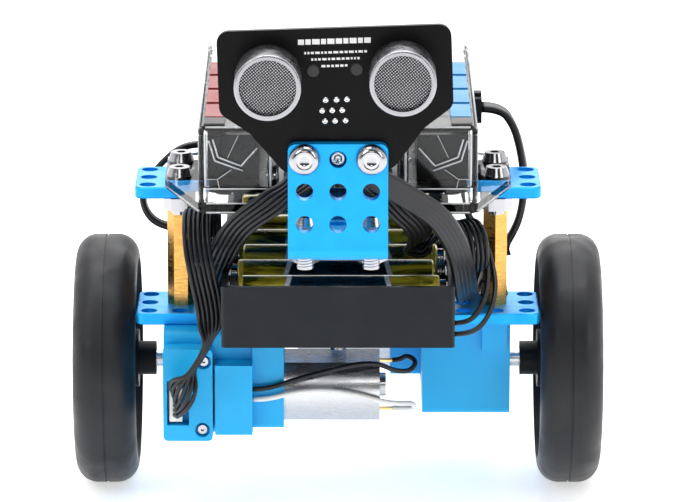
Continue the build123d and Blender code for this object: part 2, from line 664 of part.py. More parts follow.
def plug(face, across, outward):
    """A plug body that starts at a socket's inner face, with the latch tongue on one broad side."""
    plane = Plane(origin=face, x_dir=across, z_dir=outward)
    with BuildPart() as body:
        with BuildSketch(plane):
            RectangleRounded(PLUG_W, PLUG_H, 0.6)
        extrude(amount=PLUG_L)
        with BuildSketch(plane.offset(PORT_CAVITY[0] + 0.3)):
            with Locations((0, PLUG_H / 2)):
                Rectangle(3.2, 1.6)
        extrude(amount=PLUG_L - PORT_CAVITY[0] - 0.3)
    return body.part


port_plug = plug(at(PLUG_FACE_X - PLUG_L, PLUG_PORT_Y, PORT_Z), (0, 1, 0), (1, 0, 0))
sensor_plug = plug(at(0, SENSOR_PLUG_Y, SENSOR_PLUG_TOP), (-1, 0, 0), DOWN)
sensor_plug = sensor_plug.rotate(ROLL_AXIS, -SENSOR_ROLL)
write(Compound(children=[port_plug, sensor_plug]), "cable_plugs")


# ------------------------------------------------------------------ gears
def gear_outline(teeth, tooth_angle):
    """Straight-flanked teeth with involute angles at root, pitch and tip; one tooth at tooth_angle."""
    pitch_r = MODULE * teeth / 2
    pressure = radians(20)
    base_r = pitch_r * cos(pressure)
    root_r = pitch_r - 1.25 * MODULE
    tip_r = pitch_r + 0.95 * MODULE
    half_at_pitch = 0.43 * pi / teeth

    def involute(r):
        ratio = min(1.0, base_r / r)
        return tan(acos(ratio)) - acos(ratio)

    def half_angle(r):
        return half_at_pitch + involute(pitch_r) - involute(max(r, base_r))

    flank = [root_r, max(base_r, root_r + 0.1), (pitch_r + base_r) / 2]
    flank += [pitch_r, (pitch_r + tip_r) / 2, tip_r]
    points = []
    for k in range(teeth):
        middle = tooth_angle + 2 * pi * k / teeth
        rising = [(r, middle - half_angle(r)) for r in flank]
        falling = [(r, middle + half_angle(r)) for r in reversed(flank)]
        points += [(r * cos(a), r * sin(a)) for r, a in rising + falling]
    return points


# Gear places are (forward, up) from the axle, and angles are measured in that same turned plane:
# the plane's x is +Y and its y is +Z, seen from +X.
STEP = MODULE * (BIG_TEETH + SMALL_TEETH) / 2
INNER_Y = (abs(MOTOR_Y) - STEP) / 2
INNER_UP = sqrt(STEP**2 - INNER_Y**2)
ROTOR_AT = (MOTOR_Y, 0.0)
FIRST_AT = (MOTOR_Y + INNER_Y, INNER_UP)
SECOND_AT = (-INNER_Y, INNER_UP)
OUTPUT_AT = (0.0, 0.0)


def line_angle(a, b):
    """Direction from a to b in the gear plane, in radians."""
    run, rise = b[0] - a[0], b[1] - a[1]
    angle = acos(run / sqrt(run**2 + rise**2))
    return angle if rise >= 0 else -angle


def meshed(driver_at, driver_teeth, driver_angle, follower_at, follower_teeth):
    """Tooth angle that puts a follower's gap on the driver's tooth where they meet."""
    toward = line_angle(driver_at, follower_at)
    turned = (toward - driver_angle) * driver_teeth / (2 * pi)
    return toward + pi + 2 * pi * (0.5 - turned) / follower_teeth * -1


LAYERS = (24.2, 28.0, 31.8, 35.6)  # distances from the middle where each gear layer starts
ANGLE_OUT = 0.0
ANGLE_SECOND_SMALL = meshed(OUTPUT_AT, BIG_TEETH, ANGLE_OUT, SECOND_AT, SMALL_TEETH)
ANGLE_SECOND_BIG = 0.0
ANGLE_FIRST_SMALL = meshed(SECOND_AT, BIG_TEETH, ANGLE_SECOND_BIG, FIRST_AT, SMALL_TEETH)
ANGLE_FIRST_BIG = 0.0
ANGLE_ROTOR = meshed(FIRST_AT, BIG_TEETH, ANGLE_FIRST_BIG, ROTOR_AT, SMALL_TEETH)


def gear_plane(place, distance):
    """Plane across the axle at one distance left of the middle, centred on a gear."""
    y, up = place
    return Plane(origin=at(-distance, y, AXLE_Z + up), x_dir=(0, 1, 0), z_dir=(1, 0, 0))


def gear(place, distance, width, teeth, angle):
    """A toothed wheel from distance to distance + width left of the middle."""
    with BuildPart() as wheel:
        with BuildSketch(gear_plane(place, distance)):
            Polygon(*gear_outline(teeth, angle), align=None)
        extrude(amount=-width)
    return wheel.part


def rod(place, near, far, radius):
    """A round bar along the axle's direction, between two distances left of the middle."""
    with BuildPart() as bar:
        with BuildSketch(gear_plane(place, near)):
            Circle(radius)
        extrude(amount=near - far)
    return bar.part


ARMATURE_L = 18.0
ARMATURE_AT = 14.0
with BuildPart() as rotor:
    add(gear(ROTOR_AT, LAYERS[0], FACE_W, SMALL_TEETH, ANGLE_ROTOR))
    add(rod(ROTOR_AT, ARMATURE_AT, LAYERS[0], PIN_R))
    add(rod(ROTOR_AT, ARMATURE_AT - ARMATURE_L, ARMATURE_AT, ARMATURE_R))
write_both(rotor.part, "rotor")

with BuildPart() as first_gear:
    add(gear(FIRST_AT, LAYERS[0], FACE_W, BIG_TEETH, ANGLE_FIRST_BIG))
    add(gear(FIRST_AT, LAYERS[0] + FACE_W, LAYERS[1] - LAYERS[0], SMALL_TEETH, ANGLE_FIRST_SMALL))
    add(rod(FIRST_AT, LAYERS[0], LAYERS[2], PIN_R + RUN_GAP), mode=Mode.SUBTRACT)
write_both(first_gear.part, "first_gear")

with BuildPart() as second_gear:
    add(gear(SECOND_AT, LAYERS[1], FACE_W, BIG_TEETH, ANGLE_SECOND_BIG))
    add(gear(SECOND_AT, LAYERS[1] + FACE_W, LAYERS[2] - LAYERS[1], SMALL_TEETH, ANGLE_SECOND_SMALL))
    add(rod(SECOND_AT, LAYERS[1], LAYERS[3], PIN_R + RUN_GAP), mode=Mode.SUBTRACT)
write_both(second_gear.part, "second_gear")

SHAFT_IN = 31.4
SHAFT_OUT = 62.0
with BuildPart() as output_shaft:
    add(gear(OUTPUT_AT, LAYERS[2], FACE_W, BIG_TEETH, ANGLE_OUT))
    add(rod(OUTPUT_AT, SHAFT_IN, SHAFT_OUT, SHAFT_R))
write_both(output_shaft.part, "output_shaft")

# ------------------------------------------------------------------ gearbox housings and motors
GEARBOX_H = GEARBOX_TOP - GEARBOX_BOTTOM
GEARBOX_L = GEARBOX_BACK - GEARBOX_FRONT
BOX_MID = (GEARBOX_FRONT + GEARBOX_BACK) / 2
BOX_Z = (GEARBOX_TOP + GEARBOX_BOTTOM) / 2
OUTER_W = GEARBOX_OUT - GEARBOX_SEAM
INNER_W = GEARBOX_SEAM - GEARBOX_IN
CAVITY_TOP = GEARBOX_TOP - 2.0


def housing_block(near, far, inset=0.0):
    """The housing's side profile between two distances from the middle, pulled in by inset."""
    with BuildPart() as block:
        with BuildSketch(Plane(origin=at(-near, BOX_MID, BOX_Z), x_dir=(0, 1, 0), z_dir=(1, 0, 0))):
            RectangleRounded(GEARBOX_L - 2 * inset, GEARBOX_H - 2 * inset, 1.6 - inset / 2)
        extrude(amount=near - far)
    return block.part


def can_bar(far, near):
    """The motor's round section with its two flats, between two distances left of the middle."""
    with BuildPart() as bar:
        with BuildSketch(gear_plane(ROTOR_AT, far)):
            Circle(CAN_R)
            Rectangle(3 * CAN_R, CAN_FLAT, mode=Mode.INTERSECT)
        extrude(amount=far - near)
    return bar.part


MOUNT_BOSS_ROWS = (-2 * PITCH, -PITCH, PITCH, 2 * PITCH)
MOUNT_BOSS_DEPTH = 9.5
with BuildPart() as gearbox_outer:
    add(housing_block(GEARBOX_SEAM, GEARBOX_OUT))
    add(housing_block(GEARBOX_SEAM, GEARBOX_OUT - GEARBOX_WALL, GEARBOX_WALL), mode=Mode.SUBTRACT)
    add(rod(OUTPUT_AT, GEARBOX_OUT - 5.0, GEARBOX_OUT - GEARBOX_WALL, SHAFT_R + 1.8))
    add(rod(OUTPUT_AT, GEARBOX_SEAM, GEARBOX_OUT, SHAFT_R + RUN_GAP), mode=Mode.SUBTRACT)
    for row in MOUNT_BOSS_ROWS:
        with Locations(at(-POST_X, row, GEARBOX_TOP - MOUNT_BOSS_DEPTH / 2)):
            Box(6.4, 6.4, MOUNT_BOSS_DEPTH)
    for row in MOUNT_BOSS_ROWS:
        with BuildSketch(Plane(at(-POST_X, row, GEARBOX_TOP))):
            Circle(M4_TAPPED_R)
        extrude(amount=-MOUNT_BOSS_DEPTH + 1.0, mode=Mode.SUBTRACT)
write_both(gearbox_outer.part, "gearbox_outer")

CLAMP_FRONT = -36.0
CLAMP_BACK = -13.0
CLAMP_BOTTOM = 23.8
INNER_COVER = (23.3, 41.4)  # bottom and top of the raised front on the inner half
with BuildPart() as gearbox_inner:
    add(housing_block(GEARBOX_IN, GEARBOX_SEAM))
    add(housing_block(GEARBOX_IN + GEARBOX_WALL, GEARBOX_SEAM, GEARBOX_WALL), mode=Mode.SUBTRACT)
    with BuildSketch(Plane(origin=at(-GEARBOX_IN, 0, 0), x_dir=(0, 1, 0), z_dir=(1, 0, 0))):
        with Locations(((CLAMP_FRONT + CLAMP_BACK) / 2, (CLAMP_BOTTOM + GEARBOX_TOP) / 2)):
            RectangleRounded(CLAMP_BACK - CLAMP_FRONT, GEARBOX_TOP - CLAMP_BOTTOM, 1.2)
    extrude(amount=GEARBOX_IN - CLAMP_IN)
    with BuildSketch(Plane(origin=at(-GEARBOX_IN, 0, 0), x_dir=(0, 1, 0), z_dir=(1, 0, 0))):
        with Locations(((COVER_FRONT + GEARBOX_FRONT) / 2, sum(INNER_COVER) / 2)):
            Rectangle(GEARBOX_FRONT - COVER_FRONT, INNER_COVER[1] - INNER_COVER[0])
    extrude(amount=-INNER_W)
    add(can_bar(GEARBOX_IN, CLAMP_IN), mode=Mode.SUBTRACT)
    add(rod(ROTOR_AT, GEARBOX_IN, GEARBOX_IN + GEARBOX_WALL, PIN_R + 0.3), mode=Mode.SUBTRACT)
    for place in (FIRST_AT, SECOND_AT):
        add(rod(place, GEARBOX_IN + GEARBOX_WALL, GEARBOX_OUT - GEARBOX_WALL, PIN_R))
write_both(gearbox_inner.part, "gearbox_inner")

COVER_TOP = 45.6
COVER_BOTTOM = 21.7
COVER_IN = 31.6
WELL_IN = 37.6  # the connector's well, from the middle
WELL_OUT = GEARBOX_OUT - 1.0
WELL_BOTTOM = 25.8
WELL_TOP = 37.4
WELL_DEPTH = 4.0
COVER_SCREWS = ((33.8, 42.4), (34.2, 24.6))
COVER_SCREW_DEPTH = 1.6
with BuildPart() as encoder_cover:
    with BuildSketch(Plane(origin=at(0, GEARBOX_FRONT, 0), x_dir=(1, 0, 0), z_dir=(0, -1, 0))):
        with Locations((-(COVER_IN + GEARBOX_OUT) / 2, (COVER_TOP + COVER_BOTTOM) / 2)):
            RectangleRounded(GEARBOX_OUT - COVER_IN, COVER_TOP - COVER_BOTTOM, 1.2)
    extrude(amount=GEARBOX_FRONT - COVER_FRONT)
    well_middle = at(-(WELL_IN + WELL_OUT) / 2, COVER_FRONT + WELL_DEPTH / 2, (WELL_BOTTOM + WELL_TOP) / 2)
    with Locations(well_middle):
        Box(WELL_OUT - WELL_IN, WELL_DEPTH, WELL_TOP - WELL_BOTTOM, mode=Mode.SUBTRACT)
    for x, z in COVER_SCREWS:
        with BuildSketch(Plane(origin=at(-x, COVER_FRONT, z), z_dir=(0, 1, 0))):
            Circle(1.9)
        extrude(amount=COVER_SCREW_DEPTH, mode=Mode.SUBTRACT)
        with BuildSketch(Plane(origin=at(-x, COVER_FRONT, z), z_dir=(0, 1, 0))):
            Circle(1.0)
        extrude(amount=GEARBOX_FRONT - COVER_FRONT, mode=Mode.SUBTRACT)
write_pair([encoder_cover.part], "encoder_covers")

cover_screws = []
for x, z in COVER_SCREWS:
    seat = at(-x, COVER_FRONT + COVER_SCREW_DEPTH, z)
    reach = GEARBOX_FRONT - COVER_FRONT - COVER_SCREW_DEPTH
    cover_screws.append(screw(seat, REARWARD, reach, 0.95, 1.5, 1.1, 0.5))
write_pair(cover_screws, "cover_screws")

ENCODER_SOCKET = (3.2, 3.6, 9.8)
with BuildPart() as encoder_socket:
    with Locations(at(-40.9, COVER_FRONT + WELL_DEPTH - ENCODER_SOCKET[1] / 2, 31.6)):
        Box(*ENCODER_SOCKET)
write_pair([encoder_socket.part], "encoder_sockets")


CAN_START = 21.5
BELL_T = 2.0
with BuildPart() as motor_can:
    add(can_bar(CAN_START, CAN_IN + BELL_T))
    add(rod(ROTOR_AT, CAN_IN + BELL_T, CAN_START - 1.0, ARMATURE_R + 0.4), mode=Mode.SUBTRACT)
    add(rod(ROTOR_AT, CAN_START - 1.0, CAN_START, PIN_R + RUN_GAP), mode=Mode.SUBTRACT)
write_pair([motor_can.part], "motor_cans")

with BuildPart() as end_bell:
    add(can_bar(CAN_IN + BELL_T, CAN_IN))
    add(rod(ROTOR_AT, CAN_IN - 1.6, CAN_IN, 3.0))
write_pair([end_bell.part], "motor_end_bells")

TERMINAL_UP = 6.4
terminals = []
for way in (-1, 1):
    with BuildPart() as terminal:
        with Locations(at(-CAN_IN + 1.6, MOTOR_Y, AXLE_Z + way * TERMINAL_UP)):
            Box(3.2, 1.8, 0.5)
    terminals.append(terminal.part)
write_pair(terminals, "motor_terminals")

# ------------------------------------------------------------------ wheels
RIM_R = 26.0
RIM_T = 2.0
RIM_W = 13.0
WEB_T = 3.0
BOSS_R = 4.4
BOSS_IN = 47.1
WHEEL_IN = WHEEL_X - WHEEL_W / 2
wheel_axis = Axis(at(0, 0, AXLE_Z), (1, 0, 0))

with BuildPart() as hub:
    with BuildSketch(gear_plane(OUTPUT_AT, WHEEL_X - RIM_W / 2)):
        Circle(RIM_R)
        Circle(RIM_R - RIM_T, mode=Mode.SUBTRACT)
    extrude(amount=-RIM_W)
    with BuildSketch(gear_plane(OUTPUT_AT, WHEEL_X - WEB_T / 2)):
        Circle(RIM_R - RIM_T + 0.1)
        with PolarLocations(15.5, 6):
            Circle(5.2, mode=Mode.SUBTRACT)
    extrude(amount=-WEB_T)
    add(rod(OUTPUT_AT, WHEEL_IN, WHEEL_X + 4.5, 7.5))
    add(rod(OUTPUT_AT, BOSS_IN, WHEEL_X, BOSS_R))
    add(rod(OUTPUT_AT, BOSS_IN, SHAFT_OUT, SHAFT_R), mode=Mode.SUBTRACT)
write_both(hub.part, "wheel_hub")

SHOULDER_R = 5.5
with BuildPart() as tyre:
    with BuildSketch(Plane(origin=at(-WHEEL_X, 0, AXLE_Z), x_dir=(1, 0, 0), z_dir=(0, -1, 0))) as section:
        with Locations((0, (WHEEL_R + RIM_R) / 2)):
            Rectangle(WHEEL_W, WHEEL_R - RIM_R)
        fillet(section.vertices().group_by(Axis.Y)[-1], SHOULDER_R)
        with Locations((0, WHEEL_R)):
            Rectangle(0.6, 0.6, mode=Mode.SUBTRACT)
    revolve(axis=wheel_axis)
write_both(tyre.part, "tyre")

# ------------------------------------------------------------------ cables
def corner_radii(places):
    """As large an arc at each corner as its two runs allow."""
    radii = []
    for before, here, after in zip(places, places[1:], places[2:]):
        turn = radians((here - before).get_angle(after - here))
        shorter = min((here - before).length, (after - here).length)
        radii.append(0.45 * shorter / tan(turn / 2))
    return radii


def cable(name, points, diameter):
    """A tube along straight runs joined by arcs; prints its length, radii and share of true volume."""
    places = [Vector(*at(*point)) for point in points]
    radii = corner_radii(places)
    with BuildPart() as tube:
        with BuildLine() as line:
            FilletPolyline(*places, radius=radii)
        path = line.wires()[0]
        with BuildSketch(Plane(origin=path @ 0, z_dir=path % 0)):
            Circle(diameter / 2)
        sweep(path=path)
    share = tube.part.volume / (pi * diameter**2 / 4 * path.length)
    print(name, f"length {path.length:.1f}", f"share {share:.4f}", "radii", [round(r, 1) for r in radii])
    return tube.part


RIBBON_D = 3.0  # a six-wire ribbon's stand-in

# from the case's left motor socket, down to a loop beside the holder, up under the case and
# down again to the left encoder
LEFT_RIBBON = [
    (-8.1, -52.2, 94.4),
    (-8.1, -56.6, 94.4),
    (-12.2, -60.0, 91.4),
    (-18.2, -60.4, 87.6),
    (-24.1, -57.0, 82.4),
    (-27.6, -50.5, 75.8),
    (-30.4, -43.0, 67.8),
    (-32.2, -35.0, 61.0),
    (-32.6, -26.5, 56.2),
    (-32.6, -18.0, 57.6),
    (-33.2, -13.0, 64.0),
    (-33.2, -15.0, 72.0),
    (-33.0, -22.5, 77.0),
    (-33.6, -31.0, 79.0),
    (-35.2, -39.5, 82.0),
    (-35.4, -46.5, 79.6),
    (-34.9, -49.8, 73.6),
    (-33.7, -50.6, 67.6),
    (-32.4, -50.0, 61.6),
    (-31.7, -49.4, 55.8),
    (-32.2, -49.2, 50.4),
    (-34.4, -49.0, 45.8),
    (-37.2, -48.6, 41.6),
    (-39.4, -48.0, 37.0),
    (-40.9, -45.2, 31.6),
    (-40.9, -39.6, 31.6),
]
# the right one bends back over the cells, rises under the case and passes inside the right
# standoff to the rear encoder
RIGHT_RIBBON = [
    (8.1, -52.2, 94.4),
    (8.1, -56.6, 94.4),
    (11.8, -59.6, 90.8),
    (16.8, -58.6, 85.6),
    (20.2, -53.6, 80.8),
    (20.6, -46.4, 76.2),
    (18.8, -39.6, 72.8),
    (20.6, -34.4, 71.2),
    (25.4, -33.4, 73.8),
    (29.2, -37.4, 78.0),
    (31.6, -42.4, 79.8),
    (33.8, -45.8, 76.6),
    (34.4, -45.0, 71.0),
    (34.4, -40.4, 66.4),
    (34.0, -32.6, 64.0),
    (33.2, -22.6, 63.6),
    (33.0, -14.0, 63.0),
    (33.6, -5.0, 61.0),
    (34.4, 4.0, 57.6),
    (35.6, 13.0, 53.8),
    (37.6, 22.0, 51.4),
    (39.4, 31.0, 51.0),
    (40.2, 39.5, 51.8),
    (40.6, 46.0, 49.0),
    (40.8, 48.6, 43.4),
    (41.0, 48.4, 37.4),
    (40.9, 45.2, 31.6),
    (40.9, 39.6, 31.6),
]
# the sensor's lead drops beside the bracket, passes behind the right standoff and climbs to a port
SENSOR_LEAD = [
    (0.1, -78.95, 109.25),
    (0.2, -78.95, 105.6),
    (2.8, -77.9, 102.2),
    (7.2, -76.0, 99.6),
    (12.4, -73.2, 96.4),
    (18.2, -69.0, 91.8),
    (24.4, -63.6, 86.6),
    (28.8, -56.4, 78.4),
    (30.9, -48.0, 70.0),
    (31.9, -39.4, 62.6),
    (32.6, -30.6, 57.2),
    (33.4, -21.6, 54.6),
    (34.6, -12.6, 55.0),
    (37.6, -4.8, 57.4),
    (42.2, -1.0, 61.6),
    (46.2, 0.2, 67.4),
    (47.8, 0.6, 74.2),
    (48.0, 1.6, 81.0),
    (47.0, 4.0, 87.2),
    (45.4, 7.0, 92.4),
    (42.0, 9.5, 96.8),
    (37.0, 9.5, 96.8),
]
# the side lead leaves the case behind the left ear, hangs below the plate and ends on the gearbox
SIDE_LEAD = [
    (-31.4, *SIDE_HOLE),
    (-36.2, *SIDE_HOLE),
    (-41.0, 3.8, 87.3),
    (-45.4, 1.4, 84.0),
    (-48.8, -0.6, 79.9),
    (-50.6, -2.2, 75.0),
    (-48.0, -3.0, 69.8),
    (-42.4, -3.4, 67.9),
    (-36.8, -1.8, 66.4),
    (-33.2, 2.4, 62.8),
    (-32.4, 7.4, 58.4),
    (-33.2, 10.8, 53.4),
    (-33.2, 10.8, 48.5),
]
LEAD_TOPS = [(x, y, BOARD_Z) for x, y in WIRE_HOLES]
BATTERY_LEAD_A = [
    (28.9, -50.0, 55.4),
    (31.8, -50.0, 55.4),
    (34.6, -48.0, 57.0),
    (36.8, -44.4, 60.4),
    (37.6, -39.6, 64.4),
    (37.3, -34.8, 68.4),
    (35.0, -32.2, 73.6),
    (31.0, -31.4, 81.2),
    LEAD_TOPS[0],
]
BATTERY_LEAD_B = [
    (28.9, -52.3, 53.2),
    (32.4, -52.3, 53.2),
    (36.0, -49.4, 54.6),
    (38.6, -45.0, 58.0),
    (39.6, -39.8, 62.0),
    (38.9, -34.2, 66.6),
    (36.6, -30.4, 72.4),
    (31.0, -29.2, 81.2),
    LEAD_TOPS[1],
]
MOTOR_LEAD_BLACK = [
    (-21.6, -37.4, 34.6),
    (-17.8, -37.4, 34.6),
    (-10.4, -36.6, 37.0),
    (-2.6, -35.7, 38.9),
    (4.8, -34.6, 40.5),
    (10.2, -33.0, 40.1),
    (14.6, -30.8, 37.4),
    (18.2, -28.2, 36.6),
    (20.2, -25.6, 38.4),
    (17.6, -24.6, 40.0),
    (15.6, -24.7, 38.65),
    (13.8, -24.7, 38.65),
]
MOTOR_LEAD_WHITE = [
    (-21.6, -37.2, 31.8),
    (-17.8, -37.2, 31.8),
    (-11.6, -36.9, 33.6),
    (-3.6, -36.3, 34.2),
    (4.8, -36.2, 32.9),
    (11.0, -35.6, 30.8),
    (15.8, -32.8, 29.4),
    (19.2, -28.6, 28.4),
    (19.6, -25.4, 26.0),
    (16.2, -24.7, 25.85),
    (13.8, -24.7, 25.85),
]

write(cable("left_ribbon", LEFT_RIBBON, RIBBON_D), "left_ribbon")
write(cable("right_ribbon", RIGHT_RIBBON, RIBBON_D), "right_ribbon")
write(cable("sensor_lead", SENSOR_LEAD, RIBBON_D), "sensor_lead")
write(cable("side_lead", SIDE_LEAD, THICK_LEAD_D), "side_lead")
first_lead = cable("battery_lead_a", BATTERY_LEAD_A, LEAD_D)
second_lead = cable("battery_lead_b", BATTERY_LEAD_B, LEAD_D)
write(Compound(children=[first_lead, second_lead]), "battery_leads")
write(cable("motor_lead_black", MOTOR_LEAD_BLACK, LEAD_D), "motor_lead_black")
write(cable("motor_lead_white", MOTOR_LEAD_WHITE, LEAD_D), "motor_lead_white")
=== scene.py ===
"""The looks of the two wheel robot car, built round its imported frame. Lengths are in metres."""
import json
import math
import random

import bmesh
import bpy
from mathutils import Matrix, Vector


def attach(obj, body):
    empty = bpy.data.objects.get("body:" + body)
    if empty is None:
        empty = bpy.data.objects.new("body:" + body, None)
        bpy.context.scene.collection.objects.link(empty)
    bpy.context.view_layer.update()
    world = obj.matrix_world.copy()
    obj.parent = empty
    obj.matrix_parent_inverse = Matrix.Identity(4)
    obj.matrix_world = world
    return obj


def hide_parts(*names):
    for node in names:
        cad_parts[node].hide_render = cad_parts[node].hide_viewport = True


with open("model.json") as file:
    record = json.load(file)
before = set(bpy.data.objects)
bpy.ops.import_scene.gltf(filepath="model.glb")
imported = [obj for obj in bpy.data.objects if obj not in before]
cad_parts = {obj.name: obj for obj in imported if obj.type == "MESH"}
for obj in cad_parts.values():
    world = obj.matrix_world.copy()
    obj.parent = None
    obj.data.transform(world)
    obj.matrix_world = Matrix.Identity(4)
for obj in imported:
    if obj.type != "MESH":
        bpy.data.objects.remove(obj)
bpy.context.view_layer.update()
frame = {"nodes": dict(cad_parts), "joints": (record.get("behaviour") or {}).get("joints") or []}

NODES = frame["nodes"]
JOINT = {joint["name"]: joint for joint in frame["joints"]}
AXLE_Y = JOINT["left_wheel_spin"]["pos_m"][1]
MM = 0.001
SIDES = (-1, 1)
ACROSS = Vector((1, 0, 0))
FORWARD = Vector((0, -1, 0))
BACKWARD = Vector((0, 1, 0))
UP = Vector((0, 0, 1))
FACING = (ACROSS, UP, FORWARD)  # the ways of a round thing whose axis points forward
STANDING = (ACROSS, BACKWARD, UP)  # and of one whose axis points up


def place(x, y, z):
    """A point given in millimetres, with its depth counted from the axle."""
    return Vector((x * MM, AXLE_Y + y * MM, z * MM))


# ------------------------------------------------------------------ materials
class Finish:
    """A Principled material whose colour, roughness and bump come from object-space textures."""

    def __init__(self, name, color, roughness, **sockets):
        self.material = bpy.data.materials.new(name)
        self.material.use_nodes = True
        self.tree = self.material.node_tree
        self.shader = self.tree.nodes["Principled BSDF"]
        self.color = (*color, 1.0)
        self.shader.inputs["Base Color"].default_value = self.color
        self.shader.inputs["Roughness"].default_value = roughness
        for key, value in sockets.items():
            self.shader.inputs[key.replace("_", " ")].default_value = value
        self.space = self.add("ShaderNodeTexCoord").outputs["Object"]
        self.height = None

    def add(self, kind, **settings):
        node = self.tree.nodes.new(kind)
        for key, value in settings.items():
            setattr(node, key, value)
        return node

    def link(self, source, target):
        self.tree.links.new(source, target)

    def stretched(self, stretch):
        """Object coordinates in metres, scaled unevenly."""
        mapping = self.add("ShaderNodeMapping")
        mapping.inputs["Scale"].default_value = stretch
        self.link(self.space, mapping.inputs["Vector"])
        return mapping.outputs["Vector"]

    def noise(self, size, detail=3.0, stretch=(1, 1, 1), distortion=0.0):
        """Noise whose features are about size metres wide."""
        node = self.add("ShaderNodeTexNoise")
        node.inputs["Scale"].default_value = 1 / size
        node.inputs["Detail"].default_value = detail
        node.inputs["Distortion"].default_value = distortion
        self.link(self.stretched(stretch), node.inputs["Vector"])
        return node.outputs["Fac"]

    def ramp(self, value, low, high, at_low=0, at_high=1):
        """value between low and high, mapped to the range at_low to at_high."""
        node = self.add("ShaderNodeMapRange")
        limits = (("From Min", low), ("From Max", high), ("To Min", at_low), ("To Max", at_high))
        for key, number in limits:
            node.inputs[key].default_value = number
        self.link(value, node.inputs["Value"])
        return node.outputs["Result"]

    def math(self, operation, a, b=0.0):
        node = self.add("ShaderNodeMath", operation=operation)
        for socket, value in zip(node.inputs, (a, b)):
            if isinstance(value, (int, float)):
                socket.default_value = value
            else:
                self.link(value, socket)
        return node.outputs["Value"]

    def axis(self, letter):
        """One object coordinate, in metres."""
        split = self.add("ShaderNodeSeparateXYZ")
        self.link(self.space, split.inputs["Vector"])
        return split.outputs[letter]

    def blend(self, factor, first, second):
        """A colour between two colours or colour sockets."""
        node = self.add("ShaderNodeMix", data_type="RGBA")
        self.link(factor, node.inputs["Factor"])
        for key, value in (("A", first), ("B", second)):
            socket = [s for s in node.inputs if s.name == key and s.type == "RGBA"][0]
            if isinstance(value, tuple):
                socket.default_value = (*value, 1.0)
            else:
                self.link(value, socket)
        return [s for s in node.outputs if s.type == "RGBA"][0]

    def paint(self, source):
        self.link(source, self.shader.inputs["Base Color"])

    def mottle(self, value, amount):
        """Darkens and lightens the flat colour a little."""
        dark = tuple(c * (1 - amount) for c in self.color[:3])
        light = tuple(min(1.0, c * (1 + amount)) for c in self.color[:3])
        self.paint(self.blend(value, dark, light))

    def vary_roughness(self, value, low, high):
        self.link(self.ramp(value, 0.3, 0.7, low, high), self.shader.inputs["Roughness"])

    def relief(self, value, depth, strength=1.0):
        """Adds a bump of that depth in metres on top of the earlier ones."""
        node = self.add("ShaderNodeBump")
        node.inputs["Distance"].default_value = depth
        node.inputs["Strength"].default_value = strength
        self.link(value, node.inputs["Height"])
        if self.height is not None:
            self.link(self.height, node.inputs["Normal"])
        self.height = node.outputs["Normal"]
        self.link(self.height, self.shader.inputs["Normal"])


def grained(name, color, roughness, grain, depth, mottle=0.06, spread=0.08, **sockets):
    """A finish with a fine grain and slow changes of tone and gloss."""
    finish = Finish(name, color, roughness, **sockets)
    finish.mottle(finish.noise(grain * 40, 5), mottle)
    finish.vary_roughness(finish.noise(grain * 18, 4), roughness - spread, roughness + spread)
    finish.relief(finish.noise(grain, 2), depth)
    return finish


BLUE_METAL = grained("anodised_blue", (0.002, 0.36, 0.86), 0.36, 0.00022, 0.000012, Metallic=0.55)
BLUE_METAL.relief(BLUE_METAL.noise(0.0035, 3), 0.00002, 0.5)

BLUE_PLASTIC = grained(
    "moulded_blue", (0.006, 0.42, 0.84), 0.42, 0.0004, 0.000018, 0.03, 0.06, Specular_IOR_Level=0.4
)

BRASS = Finish("drawn_brass", (0.72, 0.40, 0.11), 0.3, Metallic=1.0)
BRASS.mottle(BRASS.noise(0.004, 5, (1, 1, 3)), 0.16)
BRASS.vary_roughness(BRASS.noise(0.002, 4, (1, 1, 6)), 0.2, 0.42)
BRASS.relief(BRASS.noise(0.0007, 2, (0.12, 0.12, 3.0)), 0.000012, 0.6)

SCREW_STEEL = grained(
    "polished_steel", (0.44, 0.44, 0.46), 0.18, 0.0005, 0.000006, 0.05, 0.05, Metallic=1.0
)
CAN_STEEL = Finish("drawn_steel", (0.60, 0.61, 0.63), 0.27, Metallic=1.0)
CAN_STEEL.mottle(CAN_STEEL.noise(0.006, 4), 0.05)
CAN_STEEL.vary_roughness(CAN_STEEL.noise(0.0012, 4, (0.15, 1, 1)), 0.2, 0.36)
CAN_STEEL.relief(CAN_STEEL.noise(0.0004, 2, (0.1, 1, 1)), 0.000008, 0.6)

CLEAR = Finish("clear_plastic", (0.985, 0.99, 0.99), 0.02, IOR=1.28, Transmission_Weight=1.0)
CLEAR.relief(CLEAR.noise(0.012, 2), 0.00006, 0.35)
CLEAR.vary_roughness(CLEAR.noise(0.01, 2), 0.0, 0.02)
# painted highlight: a pale, half-clear finish for thin bars that stand for light caught on the
# clear case's ribs and edges
EDGE_HIGHLIGHT_PAINT = grained(
    "painted_edge_highlight", (0.86, 0.88, 0.90), 0.22, 0.0006, 0.00002, 0.06,
    Transmission_Weight=0.45, IOR=1.45,
)

BLACK_PLASTIC = grained(
    "moulded_black", (0.007, 0.008, 0.0095), 0.46, 0.0006, 0.000002, 0.1, 0.05,
    Specular_IOR_Level=0.2,
)
HOLDER_PLASTIC = grained(
    "holder_black", (0.008, 0.010, 0.013), 0.42, 0.00035, 0.000025, 0.12, 0.08,
    Specular_IOR_Level=0.22,
)

RUBBER = Finish(
    "tyre_rubber", (0.0085, 0.009, 0.0115), 0.5,
    Specular_IOR_Level=0.4, Sheen_Weight=0.04, Sheen_Roughness=0.4,
)
RUBBER.mottle(RUBBER.noise(0.008, 6, distortion=0.6), 0.5)
RUBBER.vary_roughness(RUBBER.noise(0.010, 6, distortion=0.8), 0.34, 0.62)
RUBBER.relief(RUBBER.noise(0.0003, 2), 0.00002, 0.8)
RUBBER.relief(RUBBER.noise(0.006, 4), 0.00010, 0.5)

